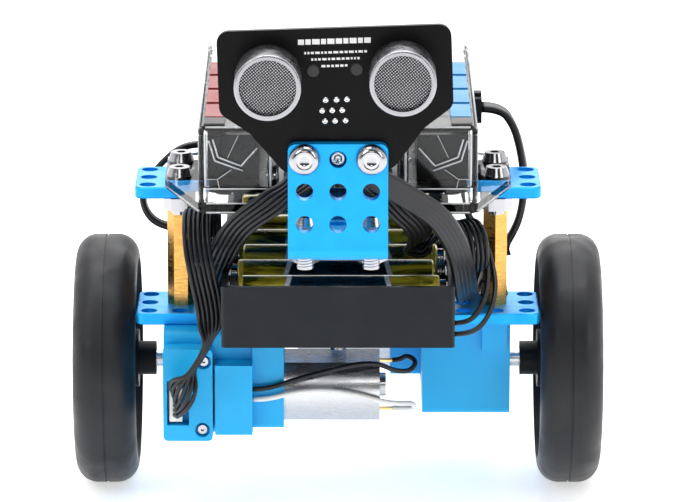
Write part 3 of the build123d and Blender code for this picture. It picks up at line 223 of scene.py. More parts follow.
BOARD_BLACK = grained(
    "black_board", (0.0032, 0.0032, 0.0032), 0.3, 0.0005, 0.000006, 0.3, 0.05,
    Specular_IOR_Level=0.1,
)
WHITE_PLASTIC = grained("white_nylon", (0.80, 0.79, 0.75), 0.42, 0.0005, 0.00001, 0.04)
SILVER = Finish("turned_aluminium", (0.38, 0.38, 0.40), 0.26, Metallic=1.0)
SILVER.vary_roughness(SILVER.noise(0.003, 4), 0.24, 0.36)
SILVER.mottle(SILVER.noise(0.003, 4), 0.06)
SILVER.relief(SILVER.noise(0.0006, 2), 0.000003, 0.4)
RED_LABEL = grained("red_label", (0.26, 0.010, 0.014), 0.42, 0.0006, 0.00001, 0.08)
BLUE_LABEL = grained("blue_label", (0.010, 0.24, 0.56), 0.42, 0.0006, 0.00001, 0.08)
GREY_LABEL = grained("grey_label", (0.045, 0.04, 0.04), 0.5, 0.0006, 0.00001, 0.08)
GEAR_PLASTIC = grained("gear_nylon", (0.74, 0.73, 0.68), 0.4, 0.0004, 0.00001, 0.05)
BRASS_PIN = grained(
    "gold_contact", (0.86, 0.60, 0.24), 0.24, 0.0005, 0.000005, 0.08, 0.06, Metallic=1.0
)
SOLDER = grained("solder", (0.72, 0.72, 0.73), 0.2, 0.0006, 0.00002, 0.06, 0.08, Metallic=1.0)
WIRE_BLACK = grained(
    "black_wire", (0.007, 0.0075, 0.0095), 0.34, 0.0006, 0.00002, 0.25, 0.08, Specular_IOR_Level=0.4
)
CABLE_BLACK = grained(
    "flat_cable", (0.009, 0.009, 0.0115), 0.36, 0.0006, 0.00002, 0.2, 0.08, Specular_IOR_Level=0.4
)
WIRE_WHITE = grained("white_wire", (0.78, 0.78, 0.77), 0.38, 0.0006, 0.00002, 0.05, 0.06)
SILK_WHITE = grained("printed_white", (0.80, 0.80, 0.79), 0.55, 0.0004, 0.00001, 0.06)
# black of the small parts, also put on thin blocks as painted shade in the sockets' slots
BLACK_PARTS_AND_SLOT_SHADE = grained("chip_black_and_slot_shade", (0.02, 0.02, 0.021), 0.5, 0.0003, 0.00002, 0.15)
SCREEN_WIRE = grained(
    "screen_wire", (0.012, 0.012, 0.013), 0.32, 0.0005, 0.00001, 0.2, 0.06, Metallic=0.2
)
CONE_GREY = grained("cone", (0.012, 0.012, 0.013), 0.45, 0.0008, 0.00002, 0.2, 0.08, Metallic=0.3)


# distances from the middle of a cell, along it
STRIPE_START = 0.0146
STRIPE_END = 0.0158
RIM_START = 0.0235
CAP_START = 0.02505
CELL_MID_Z = 0.0602
STRIPE_SLANT = 0.45
SLEEVE_BLACK = (0.004, 0.004, 0.004)
GOLD_DARK = (0.028, 0.036, 0.003)
# the lighter gold is a painted highlight, streaked over the sleeve's own darker gold
GOLD_PAINTED_HIGHLIGHT = (0.62, 0.50, 0.03)
STRIPE_GREY = (0.62, 0.63, 0.62)
RIM_GOLD = (0.70, 0.55, 0.05)
CAP_STEEL = (0.62, 0.62, 0.6)


def cell_sleeve():
    """Translucent gold sleeve ends, streaked with painted highlights, round a black band, with a
    pale slanted stripe at each join.
    """
    finish = Finish(
        "cell_sleeve", (0.2, 0.2, 0.02), 0.2, Metallic=0.35, Coat_Weight=0.6, Coat_Roughness=0.08
    )
    along = finish.math("ABSOLUTE", finish.axis("X"))
    height = finish.math("SUBTRACT", finish.axis("Z"), CELL_MID_Z)
    lean = finish.math("MULTIPLY", height, STRIPE_SLANT)
    edge = finish.math("ADD", along, lean)
    # painted highlights: long noise streaks along the cell blend the dark gold towards the light
    # gold
    gold_highlight_streaks = finish.noise(0.0065, 5, (0.35, 1.6, 1.6), 0.9)
    gold = finish.blend(finish.ramp(gold_highlight_streaks, 0.42, 0.60), GOLD_DARK, GOLD_PAINTED_HIGHLIGHT)
    is_gold = finish.ramp(edge, STRIPE_END, STRIPE_END + 0.0004)
    stripe_starts = finish.ramp(edge, STRIPE_START, STRIPE_START + 0.0003)
    stripe_ends = finish.ramp(edge, STRIPE_END, STRIPE_END + 0.0003, 1, 0)
    is_stripe = finish.math("MULTIPLY", stripe_starts, stripe_ends)
    body = finish.blend(is_gold, SLEEVE_BLACK, gold)
    striped = finish.blend(is_stripe, body, STRIPE_GREY)
    rimmed = finish.blend(finish.ramp(along, RIM_START, RIM_START + 0.0004), striped, RIM_GOLD)
    capped = finish.blend(finish.ramp(along, CAP_START, CAP_START + 0.00015), rimmed, CAP_STEEL)
    finish.paint(capped)
    finish.vary_roughness(finish.noise(0.004, 4), 0.12, 0.3)
    finish.relief(finish.noise(0.002, 4, (0.3, 1, 1)), 0.00003, 0.5)
    return finish


CELL_SLEEVE = cell_sleeve()

NODE_FINISH = {
    BLUE_METAL: ("upper_plate", "lower_plate", "connector_strip", "sensor_bracket"),
    BRASS: ("standoffs",),
    SCREW_STEEL: (
        "frame_screws", "frame_nuts", "sensor_screws", "cover_screws", "battery_contacts",
    ),
    HOLDER_PLASTIC: ("battery_holder",),
    CELL_SLEEVE: ("battery_cells",),
    CLEAR: ("case_base", "case_cover"),
    BOARD_BLACK: ("controller_board", "sensor_board"),
    BLACK_PARTS_AND_SLOT_SHADE: ("board_parts", "sensor_rivets"),
    BLACK_PLASTIC: (
        "port_sockets", "sensor_socket", "switch_knob", "cable_plugs", "left_wheel_hub",
        "right_wheel_hub",
    ),
    WHITE_PLASTIC: ("motor_sockets", "encoder_sockets", "ring_leds", "reset_button"),
    SILVER: ("rear_sockets", "switch_body", "transducers"),
    RED_LABEL: ("red_tags",),
    BLUE_LABEL: ("blue_tags",),
    GREY_LABEL: ("grey_tags",),
    BLUE_PLASTIC: (
        "encoder_covers", "left_gearbox_outer", "right_gearbox_outer", "left_gearbox_inner",
        "right_gearbox_inner",
    ),
    CAN_STEEL: (
        "motor_cans", "motor_end_bells", "left_output_shaft", "right_output_shaft", "left_rotor",
        "right_rotor",
    ),
    BRASS_PIN: ("motor_terminals",),
    RUBBER: ("left_tyre", "right_tyre"),
    GEAR_PLASTIC: ("left_first_gear", "left_second_gear", "right_first_gear", "right_second_gear"),
}


def dress(piece, finish):
    piece.data.materials.clear()
    piece.data.materials.append(finish.material)


for finish, names in NODE_FINISH.items():
    for name in names:
        dress(NODES[name], finish)


# ------------------------------------------------------------------ building pieces
def piece_of(name, bm, finish, body="chassis", smooth=True):
    """A bmesh turned into a named piece that rides on a body."""
    mesh = bpy.data.meshes.new(name)
    bm.normal_update()
    bm.to_mesh(mesh)
    bm.free()
    for face in mesh.polygons:
        face.use_smooth = smooth
    piece = bpy.data.objects.new(name, mesh)
    bpy.context.scene.collection.objects.link(piece)
    dress(piece, finish)
    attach(piece, body)
    return piece


def join_rings(bm, rings):
    """Joins neighbouring rings of equally many points with faces."""
    for low, high in zip(rings, rings[1:]):
        count = len(low)
        for i in range(count):
            j = (i + 1) % count
            bm.faces.new((low[i], low[j], high[j], high[i]))


def close_ends(bm, rings):
    bm.faces.new(reversed(rings[0]))
    bm.faces.new(rings[-1])


def add_sweep(bm, line, frames, loop):
    """Sweeps a closed loop of (across, normal) offsets along a line, and closes both ends."""
    rings = []
    for point, (across, normal) in zip(line, frames):
        rings.append([bm.verts.new(point + across * u + normal * v) for u, v in loop])
    join_rings(bm, rings)
    close_ends(bm, rings)


def frames_along(line, hint_at):
    """Across and normal directions at each point; hint_at(share) says which way the width lies."""
    frames = []
    last = len(line) - 1
    for k in range(len(line)):
        tangent = (line[min(k + 1, last)] - line[max(k - 1, 0)]).normalized()
        hint = hint_at(k / last)
        across = (hint - tangent * hint.dot(tangent)).normalized()
        frames.append((across, tangent.cross(across)))
    return frames


WIRE_HINT = Vector((0.31, 0.17, 0.94))  # a direction that no wire runs along


def add_wire(bm, line, radius, sides=8):
    """A round bar along a line."""
    angles = [2 * math.pi * (i + 0.5) / sides for i in range(sides)]
    loop = [(radius * math.cos(a), radius * math.sin(a)) for a in angles]
    add_sweep(bm, line, frames_along(line, lambda share: WIRE_HINT), loop)


def route_line(points):
    """Points along the NURBS spline that has the route's points as its control points."""
    curve = bpy.data.curves.new("route", "CURVE")
    curve.dimensions = "3D"
    spline = curve.splines.new("NURBS")
    spline.points.add(len(points) - 1)
    for control, point in zip(spline.points, points):
        control.co = (*place(*point), 1.0)
    spline.order_u = 3
    spline.use_endpoint_u = True
    spline.resolution_u = 8
    holder = bpy.data.objects.new("route", curve)
    bpy.context.scene.collection.objects.link(holder)
    mesh = bpy.data.meshes.new_from_object(holder)
    line = [vertex.co.copy() for vertex in mesh.vertices]
    bpy.data.meshes.remove(mesh)
    bpy.data.objects.remove(holder)
    bpy.data.curves.remove(curve)
    return line


def line_length(line):
    return sum((b - a).length for a, b in zip(line, line[1:]))


def hints_of(points, turns):
    """A function from share of a route to a width direction.

    Each turn is a point's number and the direction there; in between, directions are blended.
    """
    places = [place(*point) for point in points]
    reached = [0.0]
    for a, b in zip(places, places[1:]):
        reached.append(reached[-1] + (b - a).length)
    whole = reached[-1]
    stops = [(reached[index] / whole, Vector(direction).normalized()) for index, direction in turns]

    def hint_at(share):
        for (low, first), (high, second) in zip(stops, stops[1:]):
            if share <= high:
                t = max(0.0, (share - low) / (high - low))
                t = t * t * (3 - 2 * t)
                return first.lerp(second, t)
        return stops[-1][1]

    return hint_at


# ------------------------------------------------------------------ cables
WIRES = 6
WIRE_R = 0.60 * MM
WIRE_PITCH = 1.16 * MM
PIN_PITCH = 1.25 * MM
SOCKET_PITCH = 1.9 * MM  # between the wires where they leave the controller's motor socket
FAN = 0.07  # share of a ribbon over which its wires close up from the socket's pitch
FREE_END = 15 * MM

LEFT_RIBBON = [
    (-8.1, -52.2, 94.4),
    (-8.1, -56.6, 94.4),
    (-12.2, -60.0, 91.4),
    (-18.2, -60.4, 87.6),
    (-24.1, -57.0, 82.4),
    (-27.6, -50.5, 75.8),
    (-30.4, -43.0, 67.8),
    (-32.2, -35.0, 61.0),
    (-32.6, -26.5, 56.2),
    (-32.6, -18.0, 57.6),
    (-33.2, -13.0, 64.0),
    (-33.2, -15.0, 72.0),
    (-33.0, -22.5, 77.0),
    (-33.6, -31.0, 79.0),
    (-35.2, -39.5, 82.0),
    (-35.4, -46.5, 79.6),
    (-34.9, -49.8, 73.6),
    (-33.7, -50.6, 67.6),
    (-32.4, -50.0, 61.6),
    (-31.7, -49.4, 55.8),
    (-32.2, -49.2, 50.4),
    (-34.4, -49.0, 45.8),
    (-37.2, -48.6, 41.6),
    (-39.4, -48.0, 37.0),
    (-40.9, -45.2, 31.6),
    (-40.9, -39.6, 31.6),
]
LEFT_TURNS = [
    (0, (1, 0, 0)),
    (2, (1, -0.4, 0)),
    (4, (0.75, 0, -0.6)),
    (6, (1, 0.1, -0.2)),
    (9, (1, 0, 0)),
    (15, (1, 0, 0)),
    (17, (0.9, 0.35, 0)),
    (19, (0.25, 1, 0)),
    (21, (0.35, 1, 0.1)),
    (23, (1, -0.2, 0.2)),
    (24, (0.6, 0, 0.8)),
    (25, (0, 0, 1)),
]
RIGHT_RIBBON = [
    (8.1, -52.2, 94.4),
    (8.1, -56.6, 94.4),
    (11.8, -59.6, 90.8),
    (16.8, -58.6, 85.6),
    (20.2, -53.6, 80.8),
    (20.6, -46.4, 76.2),
    (18.8, -39.6, 72.8),
    (20.6, -34.4, 71.2),
    (25.4, -33.4, 73.8),
    (29.2, -37.4, 78.0),
    (31.6, -42.4, 79.8),
    (33.8, -45.8, 76.6),
    (34.4, -45.0, 71.0),
    (34.4, -40.4, 66.4),
    (34.0, -32.6, 64.0),
    (33.2, -22.6, 63.6),
    (33.0, -14.0, 63.0),
    (33.6, -5.0, 61.0),
    (34.4, 4.0, 57.6),
    (35.6, 13.0, 53.8),
    (37.6, 22.0, 51.4),
    (39.4, 31.0, 51.0),
    (40.2, 39.5, 51.8),
    (40.6, 46.0, 49.0),
    (40.8, 48.6, 43.4),
    (41.0, 48.4, 37.4),
    (40.9, 45.2, 31.6),
    (40.9, 39.6, 31.6),
]
RIGHT_TURNS = [
    (0, (1, 0, 0)),
    (2, (1, 0.4, 0)),
    (4, (1, 0.1, 0.5)),
    (6, (0.9, 0.3, 0.6)),
    (8, (0.3, 0.9, 0.2)),
    (10, (0.9, 0.5, 0)),
    (12, (1, 0.1, 0)),
    (15, (1, 0, 0.3)),
    (22, (1, 0, 0)),
    (25, (1, 0, 0)),
    (26, (0.6, 0, 0.8)),
    (27, (0, 0, 1)),
]
SENSOR_LEAD = [
    (0.1, -78.95, 109.25),
    (0.2, -78.95, 105.6),
    (2.8, -77.9, 102.2),
    (7.2, -76.0, 99.6),
    (12.4, -73.2, 96.4),
    (18.2, -69.0, 91.8),
    (24.4, -63.6, 86.6),
    (28.8, -56.4, 78.4),
    (30.9, -48.0, 70.0),
    (31.9, -39.4, 62.6),
    (32.6, -30.6, 57.2),
    (33.4, -21.6, 54.6),
    (34.6, -12.6, 55.0),
    (37.6, -4.8, 57.4),
    (42.2, -1.0, 61.6),
    (46.2, 0.2, 67.4),
    (47.8, 0.6, 74.2),
    (48.0, 1.6, 81.0),
    (47.0, 4.0, 87.2),
    (45.4, 7.0, 92.4),
    (42.0, 9.5, 96.8),
    (37.0, 9.5, 96.8),
]
SENSOR_TURNS = [
    (0, (1, 0, 0)),
    (2, (0.9, 0, 0.5)),
    (4, (0.8, 0, 0.7)),
    (7, (0.9, 0.1, 0.5)),
    (9, (0.9, 0.3, 0.3)),
    (12, (0.6, 0, 0.8)),
    (15, (0.1, 1, 0.1)),
    (18, (0.1, 0.9, -0.3)),
    (20, (0, 1, 0)),
    (21, (0, 1, 0)),
]
SIDE_LEAD = [
    (-31.4, 5.0, 88.2),
    (-36.2, 5.0, 88.2),
    (-41.0, 3.8, 87.3),
    (-45.4, 1.4, 84.0),
    (-48.8, -0.6, 79.9),
    (-50.6, -2.2, 75.0),
    (-48.0, -3.0, 69.8),
    (-42.4, -3.4, 67.9),
    (-36.8, -1.8, 66.4),
    (-33.2, 2.4, 62.8),
    (-32.4, 7.4, 58.4),
    (-33.2, 10.8, 53.4),
    (-33.2, 10.8, 48.5),
]
SIDE_TURNS = [
    (0, (0, 1, 0)),
    (3, (0.2, 1, 0)),
    (8, (0, 1, 0.2)),
    (10, (1, 0.4, 0)),
    (12, (1, 0, 0)),
]
BATTERY_LEADS = [
    [
        (28.9, -50.0, 55.4),
        (31.8, -50.0, 55.4),
        (34.6, -48.0, 57.0),
        (36.8, -44.4, 60.4),
        (37.6, -39.6, 64.4),
        (37.3, -34.8, 68.4),
        (35.0, -32.2, 73.6),
        (31.0, -31.4, 81.2),
        (31.0, -31.4, 89.5),
    ],
    [
        (28.9, -52.3, 53.2),
        (32.4, -52.3, 53.2),
        (36.0, -49.4, 54.6),
        (38.6, -45.0, 58.0),
        (39.6, -39.8, 62.0),
        (38.9, -34.2, 66.6),
        (36.6, -30.4, 72.4),
        (31.0, -29.2, 81.2),
        (31.0, -29.2, 89.5),
    ],
]
MOTOR_LEAD_BLACK = [
    (-21.6, -37.4, 34.6),
    (-17.8, -37.4, 34.6),
    (-10.4, -36.6, 37.0),
    (-2.6, -35.7, 38.9),
    (4.8, -34.6, 40.5),
    (10.2, -33.0, 40.1),
    (14.6, -30.8, 37.4),
    (18.2, -28.2, 36.6),
    (20.2, -25.6, 38.4),
    (17.6, -24.6, 40.0),
    (15.6, -24.7, 38.65),
    (13.8, -24.7, 38.65),
]
MOTOR_LEAD_WHITE = [
    (-21.6, -37.2, 31.8),
    (-17.8, -37.2, 31.8),
    (-11.6, -36.9, 33.6),
    (-3.6, -36.3, 34.2),
    (4.8, -36.2, 32.9),
    (11.0, -35.6, 30.8),
    (15.8, -32.8, 29.4),
    (19.2, -28.6, 28.4),
    (19.6, -25.4, 26.0),
    (16.2, -24.7, 25.85),
    (13.8, -24.7, 25.85),
]


def smooth_step(t):
    t = min(1.0, max(0.0, t))
    return t * t * (3 - 2 * t)


def bent(start, start_way, end, end_way, count=14):
    """Points along a cubic curve between two places with given directions."""
    reach = (end - start).length * 0.42
    first = start + start_way * reach
    second = end - end_way * reach
    points = []
    for k in range(count + 1):
        t = k / count
        near = start * (1 - t) ** 3 + first * 3 * t * (1 - t) ** 2
        points.append(near + second * 3 * t * t * (1 - t) + end * t**3)
    return points


def declare_cord(node):
    """Hides the node that the cord stands for."""
    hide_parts(node)


def ribbon(name, node, points, turns, pin_way):
    """Six wires side by side; over the last FREE_END each bends to its own pin of the encoder."""
    line = route_line(points)
    end = line[-1]
    whole = line_length(line)
    run = 0.0
    cut = 0
    while whole - run > FREE_END:
        run += (line[cut + 1] - line[cut]).length
        cut += 1
    hint_at = hints_of(points, turns)
    frames = frames_along(line, hint_at)
    last = len(line) - 1
    bm = bmesh.new()
    for wire in range(WIRES):
        path = []
        for k in range(cut + 1):
            share = k / last
            near_start = smooth_step(1 - share / FAN)
            pitch = WIRE_PITCH + near_start * (SOCKET_PITCH - WIRE_PITCH)
            wander = 0.18 * MM * math.sin(9.0 * share + 2.1 * wire) * math.sin(23.0 * share + wire)
            across, normal = frames[k]
            path.append(line[k] + across * (wire - (WIRES - 1) / 2) * pitch + normal * wander)
        heading = (path[-1] - path[-2]).normalized()
        pin = end + UP * ((WIRES - 1) / 2 - wire) * PIN_PITCH
        path += bent(path[-1], heading, pin, pin_way)[1:]
        add_wire(bm, path, WIRE_R)
    piece = piece_of(name, bm, WIRE_BLACK)
    declare_cord(node)


def flat_section(width, thickness, ribs):
    """The outline of a flat cable with shallow ribs over its cores."""
    count = 6 * ribs
    top = []
    for i in range(count + 1):
        s = i / count
        round_end = min(1.0, math.sqrt(max(0.0, 1 - (2 * s - 1) ** 8)))
        ripple = 0.93 + 0.07 * abs(math.sin(math.pi * ribs * s))
        top.append(((s - 0.5) * width, max(0.12, round_end) * ripple * thickness / 2))
    return top + [(u, -v) for u, v in reversed(top)]


def flat_cable(name, node, points, turns, width, thickness, ribs):
    line = route_line(points)
    bm = bmesh.new()
    section = flat_section(width, thickness, ribs)
    add_sweep(bm, line, frames_along(line, hints_of(points, turns)), section)
    piece = piece_of(name, bm, CABLE_BLACK)
    declare_cord(node)


def round_lead(name, node, points, diameter, finish):
    """A single round lead along its route."""
    line = route_line(points)
    bm = bmesh.new()
    add_wire(bm, line, diameter / 2, 10)
    piece = piece_of(name, bm, finish)
    declare_cord(node)


ribbon("left_ribbon_wires", "left_ribbon", LEFT_RIBBON, LEFT_TURNS, BACKWARD)
ribbon("right_ribbon_wires", "right_ribbon", RIGHT_RIBBON, RIGHT_TURNS, FORWARD)
flat_cable("sensor_flat_cable", "sensor_lead", SENSOR_LEAD, SENSOR_TURNS, 6.2 * MM, 2.0 * MM, 6)
flat_cable("side_flat_cable", "side_lead", SIDE_LEAD, SIDE_TURNS, 2.6 * MM, 1.6 * MM, 2)
LEAD_D = 1.3 * MM
for letter, points in zip("ab", BATTERY_LEADS):
    round_lead(f"battery_lead_{letter}", "battery_leads", points, LEAD_D, WIRE_BLACK)
round_lead(
    "motor_wire_black", "motor_lead_black", MOTOR_LEAD_BLACK, LEAD_D, WIRE_BLACK
)
round_lead(
    "motor_wire_white", "motor_lead_white", MOTOR_LEAD_WHITE, LEAD_D, WIRE_WHITE
)


# ------------------------------------------------------------------ distance sensor
SENSOR_FRONT = -86.25  # front face of the sensor's board
SCREW_ROW = 106.75  # height of the two screws that hold it
ROLL = math.radians(1.9)  # how far the board leans on them
BARREL_X = 16.0
BARREL_UP = 20.0
MESH_Y = -96.3
SCREEN_R = 6.75
WEAVE_PITCH = 0.56
WEAVE_DEPTH = 0.11
WEAVE_TILT = math.radians(38)


def rolled(x, y, up):
    """A place on the leaning sensor board: x across it and up above its screw row."""
    across = x * math.cos(ROLL) - up * math.sin(ROLL)
    return place(across, y, SCREW_ROW + x * math.sin(ROLL) + up * math.cos(ROLL))


def woven_wire(side, row, crossing):
    """One wavy wire of a screen, in the row-th place, along the weave or crossing it."""
    offset = row * WEAVE_PITCH
    half = math.sqrt(SCREEN_R**2 - offset**2)
    steps = max(2, round(4 * half / WEAVE_PITCH))
    path = []
    for k in range(steps + 1):
        along = -half + 2 * half * k / steps
        phase = math.pi * (along / WEAVE_PITCH + row + (1 if crossing else 0))
        across, up = (offset, along) if crossing else (along, offset)
        x = side * BARREL_X + across * math.cos(WEAVE_TILT) - up * math.sin(WEAVE_TILT)
        height = BARREL_UP + across * math.sin(WEAVE_TILT) + up * math.cos(WEAVE_TILT)
        path.append(rolled(x, MESH_Y - WEAVE_DEPTH * math.cos(phase), height))
    return path


def transducer_screens():
    """Woven wire screens over both transducers."""
    bm = bmesh.new()
    count = int(SCREEN_R / WEAVE_PITCH)
    for side in SIDES:
        for row in range(-count, count + 1):
            for crossing in (False, True):
                add_wire(bm, woven_wire(side, row, crossing), 0.13 * MM, 4)
    return bm


def lathe(bm, centre, ways, profile, sides=48):
    """Turns (radius, along) pairs, in millimetres, about an axis.

    The ways are two directions across the axis and one along it.
    """
    rings = []
    for radius, along in profile:
        ring = []
        for i in range(sides):
            a = 2 * math.pi * i / sides
            offset = (ways[0] * math.cos(a) + ways[1] * math.sin(a)) * radius + ways[2] * along
            ring.append(bm.verts.new(centre + offset * MM))
        rings.append(ring)
    join_rings(bm, rings)
    close_ends(bm, rings)


def transducer_cones():
    """The ringed disc behind each screen."""
    bm = bmesh.new()
    cone = [
        (6.7, 0.0), (6.7, -0.15), (5.4, -0.15), (5.2, 0.02), (4.9, 0.02), (4.7, -0.1),
        (1.4, -0.12), (1.0, 0.0), (0.05, 0.04),
    ]
    for side in SIDES:
        lathe(bm, rolled(side * BARREL_X, MESH_Y + 0.15, BARREL_UP), FACING, cone)
    return bm


PAD_ROWS = ((14.0, (-2.5, 0.1, 2.6)), (11.4, (-3.4, -1.0, 1.4)), (8.8, (-2.8, -0.4, 2.1)))


def sensor_solder():
    """Nine cut and soldered pins on the front of the sensor's board."""
    bm = bmesh.new()
    dome = [(0.8, 0.0), (0.8, 0.08), (0.62, 0.3), (0.36, 0.48), (0.3, 0.36), (0.06, 0.36)]
    for up, pads in PAD_ROWS:
        for x in pads:
            lathe(bm, rolled(x, SENSOR_FRONT, up), FACING, dome, 16)
    return bm


def add_block(bm, centre, size):
    """An upright box of that size in metres."""
    made = bmesh.ops.create_cube(bm, size=1.0)["verts"]
    for vertex in made:
        vertex.co = centre + Vector([c * d for c, d in zip(vertex.co, size)])


# each row's height on the board, half its length, its marks' height, and their smallest and
# greatest width
MARK_ROWS = (
    (28.3, 8.6, 1.3, 1.1, 2.2),
    (25.6, 7.2, 0.55, 0.4, 1.2),
    (24.0, 5.6, 0.55, 0.4, 1.2),
    (22.3, 3.2, 0.55, 0.4, 1.2),
)
MARK_GAP = 0.32


def sensor_marks():
    """Generic rows of short printed dashes on the sensor's board."""
    bm = bmesh.new()
    chance = random.Random(7)
    for up, half, height, narrow, wide in MARK_ROWS:
        x = -half
        while x < half:
            width = chance.uniform(narrow, wide)
            middle = rolled(x + width / 2, SENSOR_FRONT - 0.02, up)
            add_block(bm, middle, (width * MM, 0.06 * MM, height * MM))
            x += width + MARK_GAP
    return bm


def bracket_middle_screw():
    bm = bmesh.new()
    end = [(1.85, 0.0), (1.85, 1.5), (1.6, 1.8), (1.0, 1.8), (0.9, 1.3), (0.1, 1.2)]
    lathe(bm, place(0, -86.4, SCREW_ROW), FACING, end, 24)
    return bm


screen_piece = piece_of("transducer_screens", transducer_screens(), SCREEN_WIRE)
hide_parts("transducer_meshes")
piece_of("transducer_cones", transducer_cones(), CONE_GREY)
piece_of("sensor_solder", sensor_solder(), SOLDER)
piece_of("sensor_marks", sensor_marks(), SILK_WHITE, smooth=False)
piece_of("bracket_middle_screw", bracket_middle_screw(), SCREW_STEEL)

# ------------------------------------------------------------------ bracket screws
BRACKET_SEAT = -89.25  # front face of the bracket
SCREW_X = 8.0
SCREW_HEAD_R = 3.8
SCREW_HEAD_T = 2.2
SCREW_R = 1.95
SOCKET_RIM = 1.75
DOME_TOP = 70  # degrees of the arc at which the head's flat rim begins


def button_head(bm, seat):
    """A domed head, open for its socket."""
    dome = [(SCREW_HEAD_R, 0.0), (SCREW_HEAD_R, SCREW_HEAD_T * 0.14)]
    for degrees in range(10, DOME_TOP + 1, 10):
        a = math.radians(degrees)
        rise = math.sin(a) / math.sin(math.radians(DOME_TOP))
        radius = SOCKET_RIM + (SCREW_HEAD_R - SOCKET_RIM) * math.cos(a)
        dome.append((radius, SCREW_HEAD_T * (0.14 + 0.86 * rise)))
    dome += [(SOCKET_RIM, SCREW_HEAD_T), (SOCKET_RIM * 0.97, SCREW_HEAD_T * 0.96)]
    lathe(bm, seat, FACING, dome)


def hexagon_reach(a, corner_r):
    """Distance from the middle of a hexagon to its edge in direction a."""
    within = (a + math.pi / 6) % (math.pi / 3) - math.pi / 6
    return corner_r * math.cos(math.pi / 6) / math.cos(within)


def hexagon_socket(bm, centre, corner_r=1.35, rim=1.8, depth=1.2, count=48):
    """The recess of a head: a six-sided well inside a flat round rim."""
    rings = []
    for hexagonal, along in ((False, 0.0), (True, 0.0), (True, -depth)):
        ring = []
        for i in range(count):
            a = 2 * math.pi * i / count
            reach = hexagon_reach(a, corner_r) if hexagonal else rim
            offset = (ACROSS * math.cos(a) + UP * math.sin(a)) * reach + FORWARD * along
            ring.append(bm.verts.new(centre + offset * MM))
        rings.append(ring)
    join_rings(bm, rings)
    bm.faces.new(rings[-1])


heads = bmesh.new()
wells = bmesh.new()
for side in SIDES:
    seat = place(side * SCREW_X, BRACKET_SEAT, SCREW_ROW)
    button_head(heads, seat)
    add_wire(heads, [seat, seat + BACKWARD * 4.5 * MM, seat + BACKWARD * 9 * MM], SCREW_R * MM, 24)
    hexagon_socket(wells, seat + FORWARD * (SCREW_HEAD_T + 0.005) * MM)
head_piece = piece_of("bracket_screw_heads", heads, SCREW_STEEL)
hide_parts("sensor_screws")
piece_of("bracket_screw_sockets", wells, CAN_STEEL, smooth=False)

# ------------------------------------------------------------------ small fittings
CELL_PITCH = 15.333
FIRST_CELL_Y = -49.83
PORT_YS = (-38.5, -22.5, -6.5, 9.5, 25.5)
PLUGGED_PORT = (1, 9.5)  # its side and depth


def helix(centre, ways, radius, pitch, turns, per_turn=16):
    points = []
    for k in range(int(turns * per_turn) + 1):
        a = 2 * math.pi * k / per_turn
        round_way = ways[0] * math.cos(a) + ways[1] * math.sin(a)
        points.append(centre + round_way * radius + ways[2] * pitch * k / per_turn)
    return points


def screw_threads():
    """Thread ridges on the two screw ends under the bracket's flange."""
    bm = bmesh.new()
    for side in SIDES:
        ridge = helix(place(side * SCREW_X, -80.0, 77.7), STANDING, SCREW_R * MM, 0.7 * MM, 5.0)
        add_wire(bm, ridge, 0.17 * MM, 5)
    return bm


def holder_springs():
    """A coil spring at one end of each cell, on alternating sides."""
    bm = bmesh.new()
    for k in range(6):
        side = -1 if k % 2 else 1
        wall = place(side * 27.3, FIRST_CELL_Y + CELL_PITCH * k, 60.25)
        spring = helix(wall, (BACKWARD, UP, ACROSS * -side), 3.9 * MM, 0.62 * MM, 3.2)
        add_wire(bm, spring, 0.28 * MM, 6)
    return bm


def encoder_slot_shade():
    """Painted shade: six dark blocks for the slots in the face of each encoder's socket."""
    bm = bmesh.new()
    for side in SIDES:
        for wire in range(WIRES):
            middle = place(side * 40.9, side * 39.6, 31.6) + UP * (wire - 2.5) * PIN_PITCH
            add_block(bm, middle, (1.5 * MM, 0.3 * MM, 0.85 * MM))
    return bm


def port_pins():
    """Six contacts in each free port."""
    bm = bmesh.new()
    for side in SIDES:
        for y in PORT_YS:
            if (side, y) == PLUGGED_PORT:
                continue
            for pin in range(6):
                middle = place(side * 27.2, y + (pin - 2.5) * 1.27, 98.4)
                add_block(bm, middle, (5.4 * MM, 0.45 * MM, 0.45 * MM))
    return bm


# painted shade: a dark block where each wire enters the controller's motor sockets
def motor_socket_slot_shade():
    bm = bmesh.new()
    for side in SIDES:
        for wire in range(WIRES):
            middle = place(side * 8.1, -52.3, 94.4) + ACROSS * (wire - 2.5) * SOCKET_PITCH
            add_block(bm, middle, (0.9 * MM, 0.3 * MM, 2.2 * MM))
    return bm


def terminal_solder():
    """A blob on each of the four motor terminals."""
    bm = bmesh.new()
    blob = [(0.2, -1.0), (0.9, -0.7), (1.1, 0.0), (0.9, 0.7), (0.2, 1.0)]
    for side in SIDES:
        for up in (-6.4, 6.4):
            lathe(bm, place(side * 13.4, side * 24.7, 32.25 + up), (ACROSS, UP, BACKWARD), blob, 14)
    return bm


def board_chips():
    """Small chip resistors and capacitors on the controller board, clear of its large parts."""
    bm = bmesh.new()
    chance = random.Random(11)
    for _ in range(90):
        x = chance.uniform(-18, 18)
        y = chance.uniform(-44, 46)
        if math.hypot(x, y - 18) < 9 or math.hypot(x - 10, y + 30) < 6 or math.hypot(x, y + 32) < 5:
            continue
        long_way = chance.random() < 0.5
        size = (1.6, 0.8, 0.5) if long_way else (0.8, 1.6, 0.5)
        add_block(bm, place(x, y, 91.1 + size[2] / 2), tuple(v * MM for v in size))
    return bm


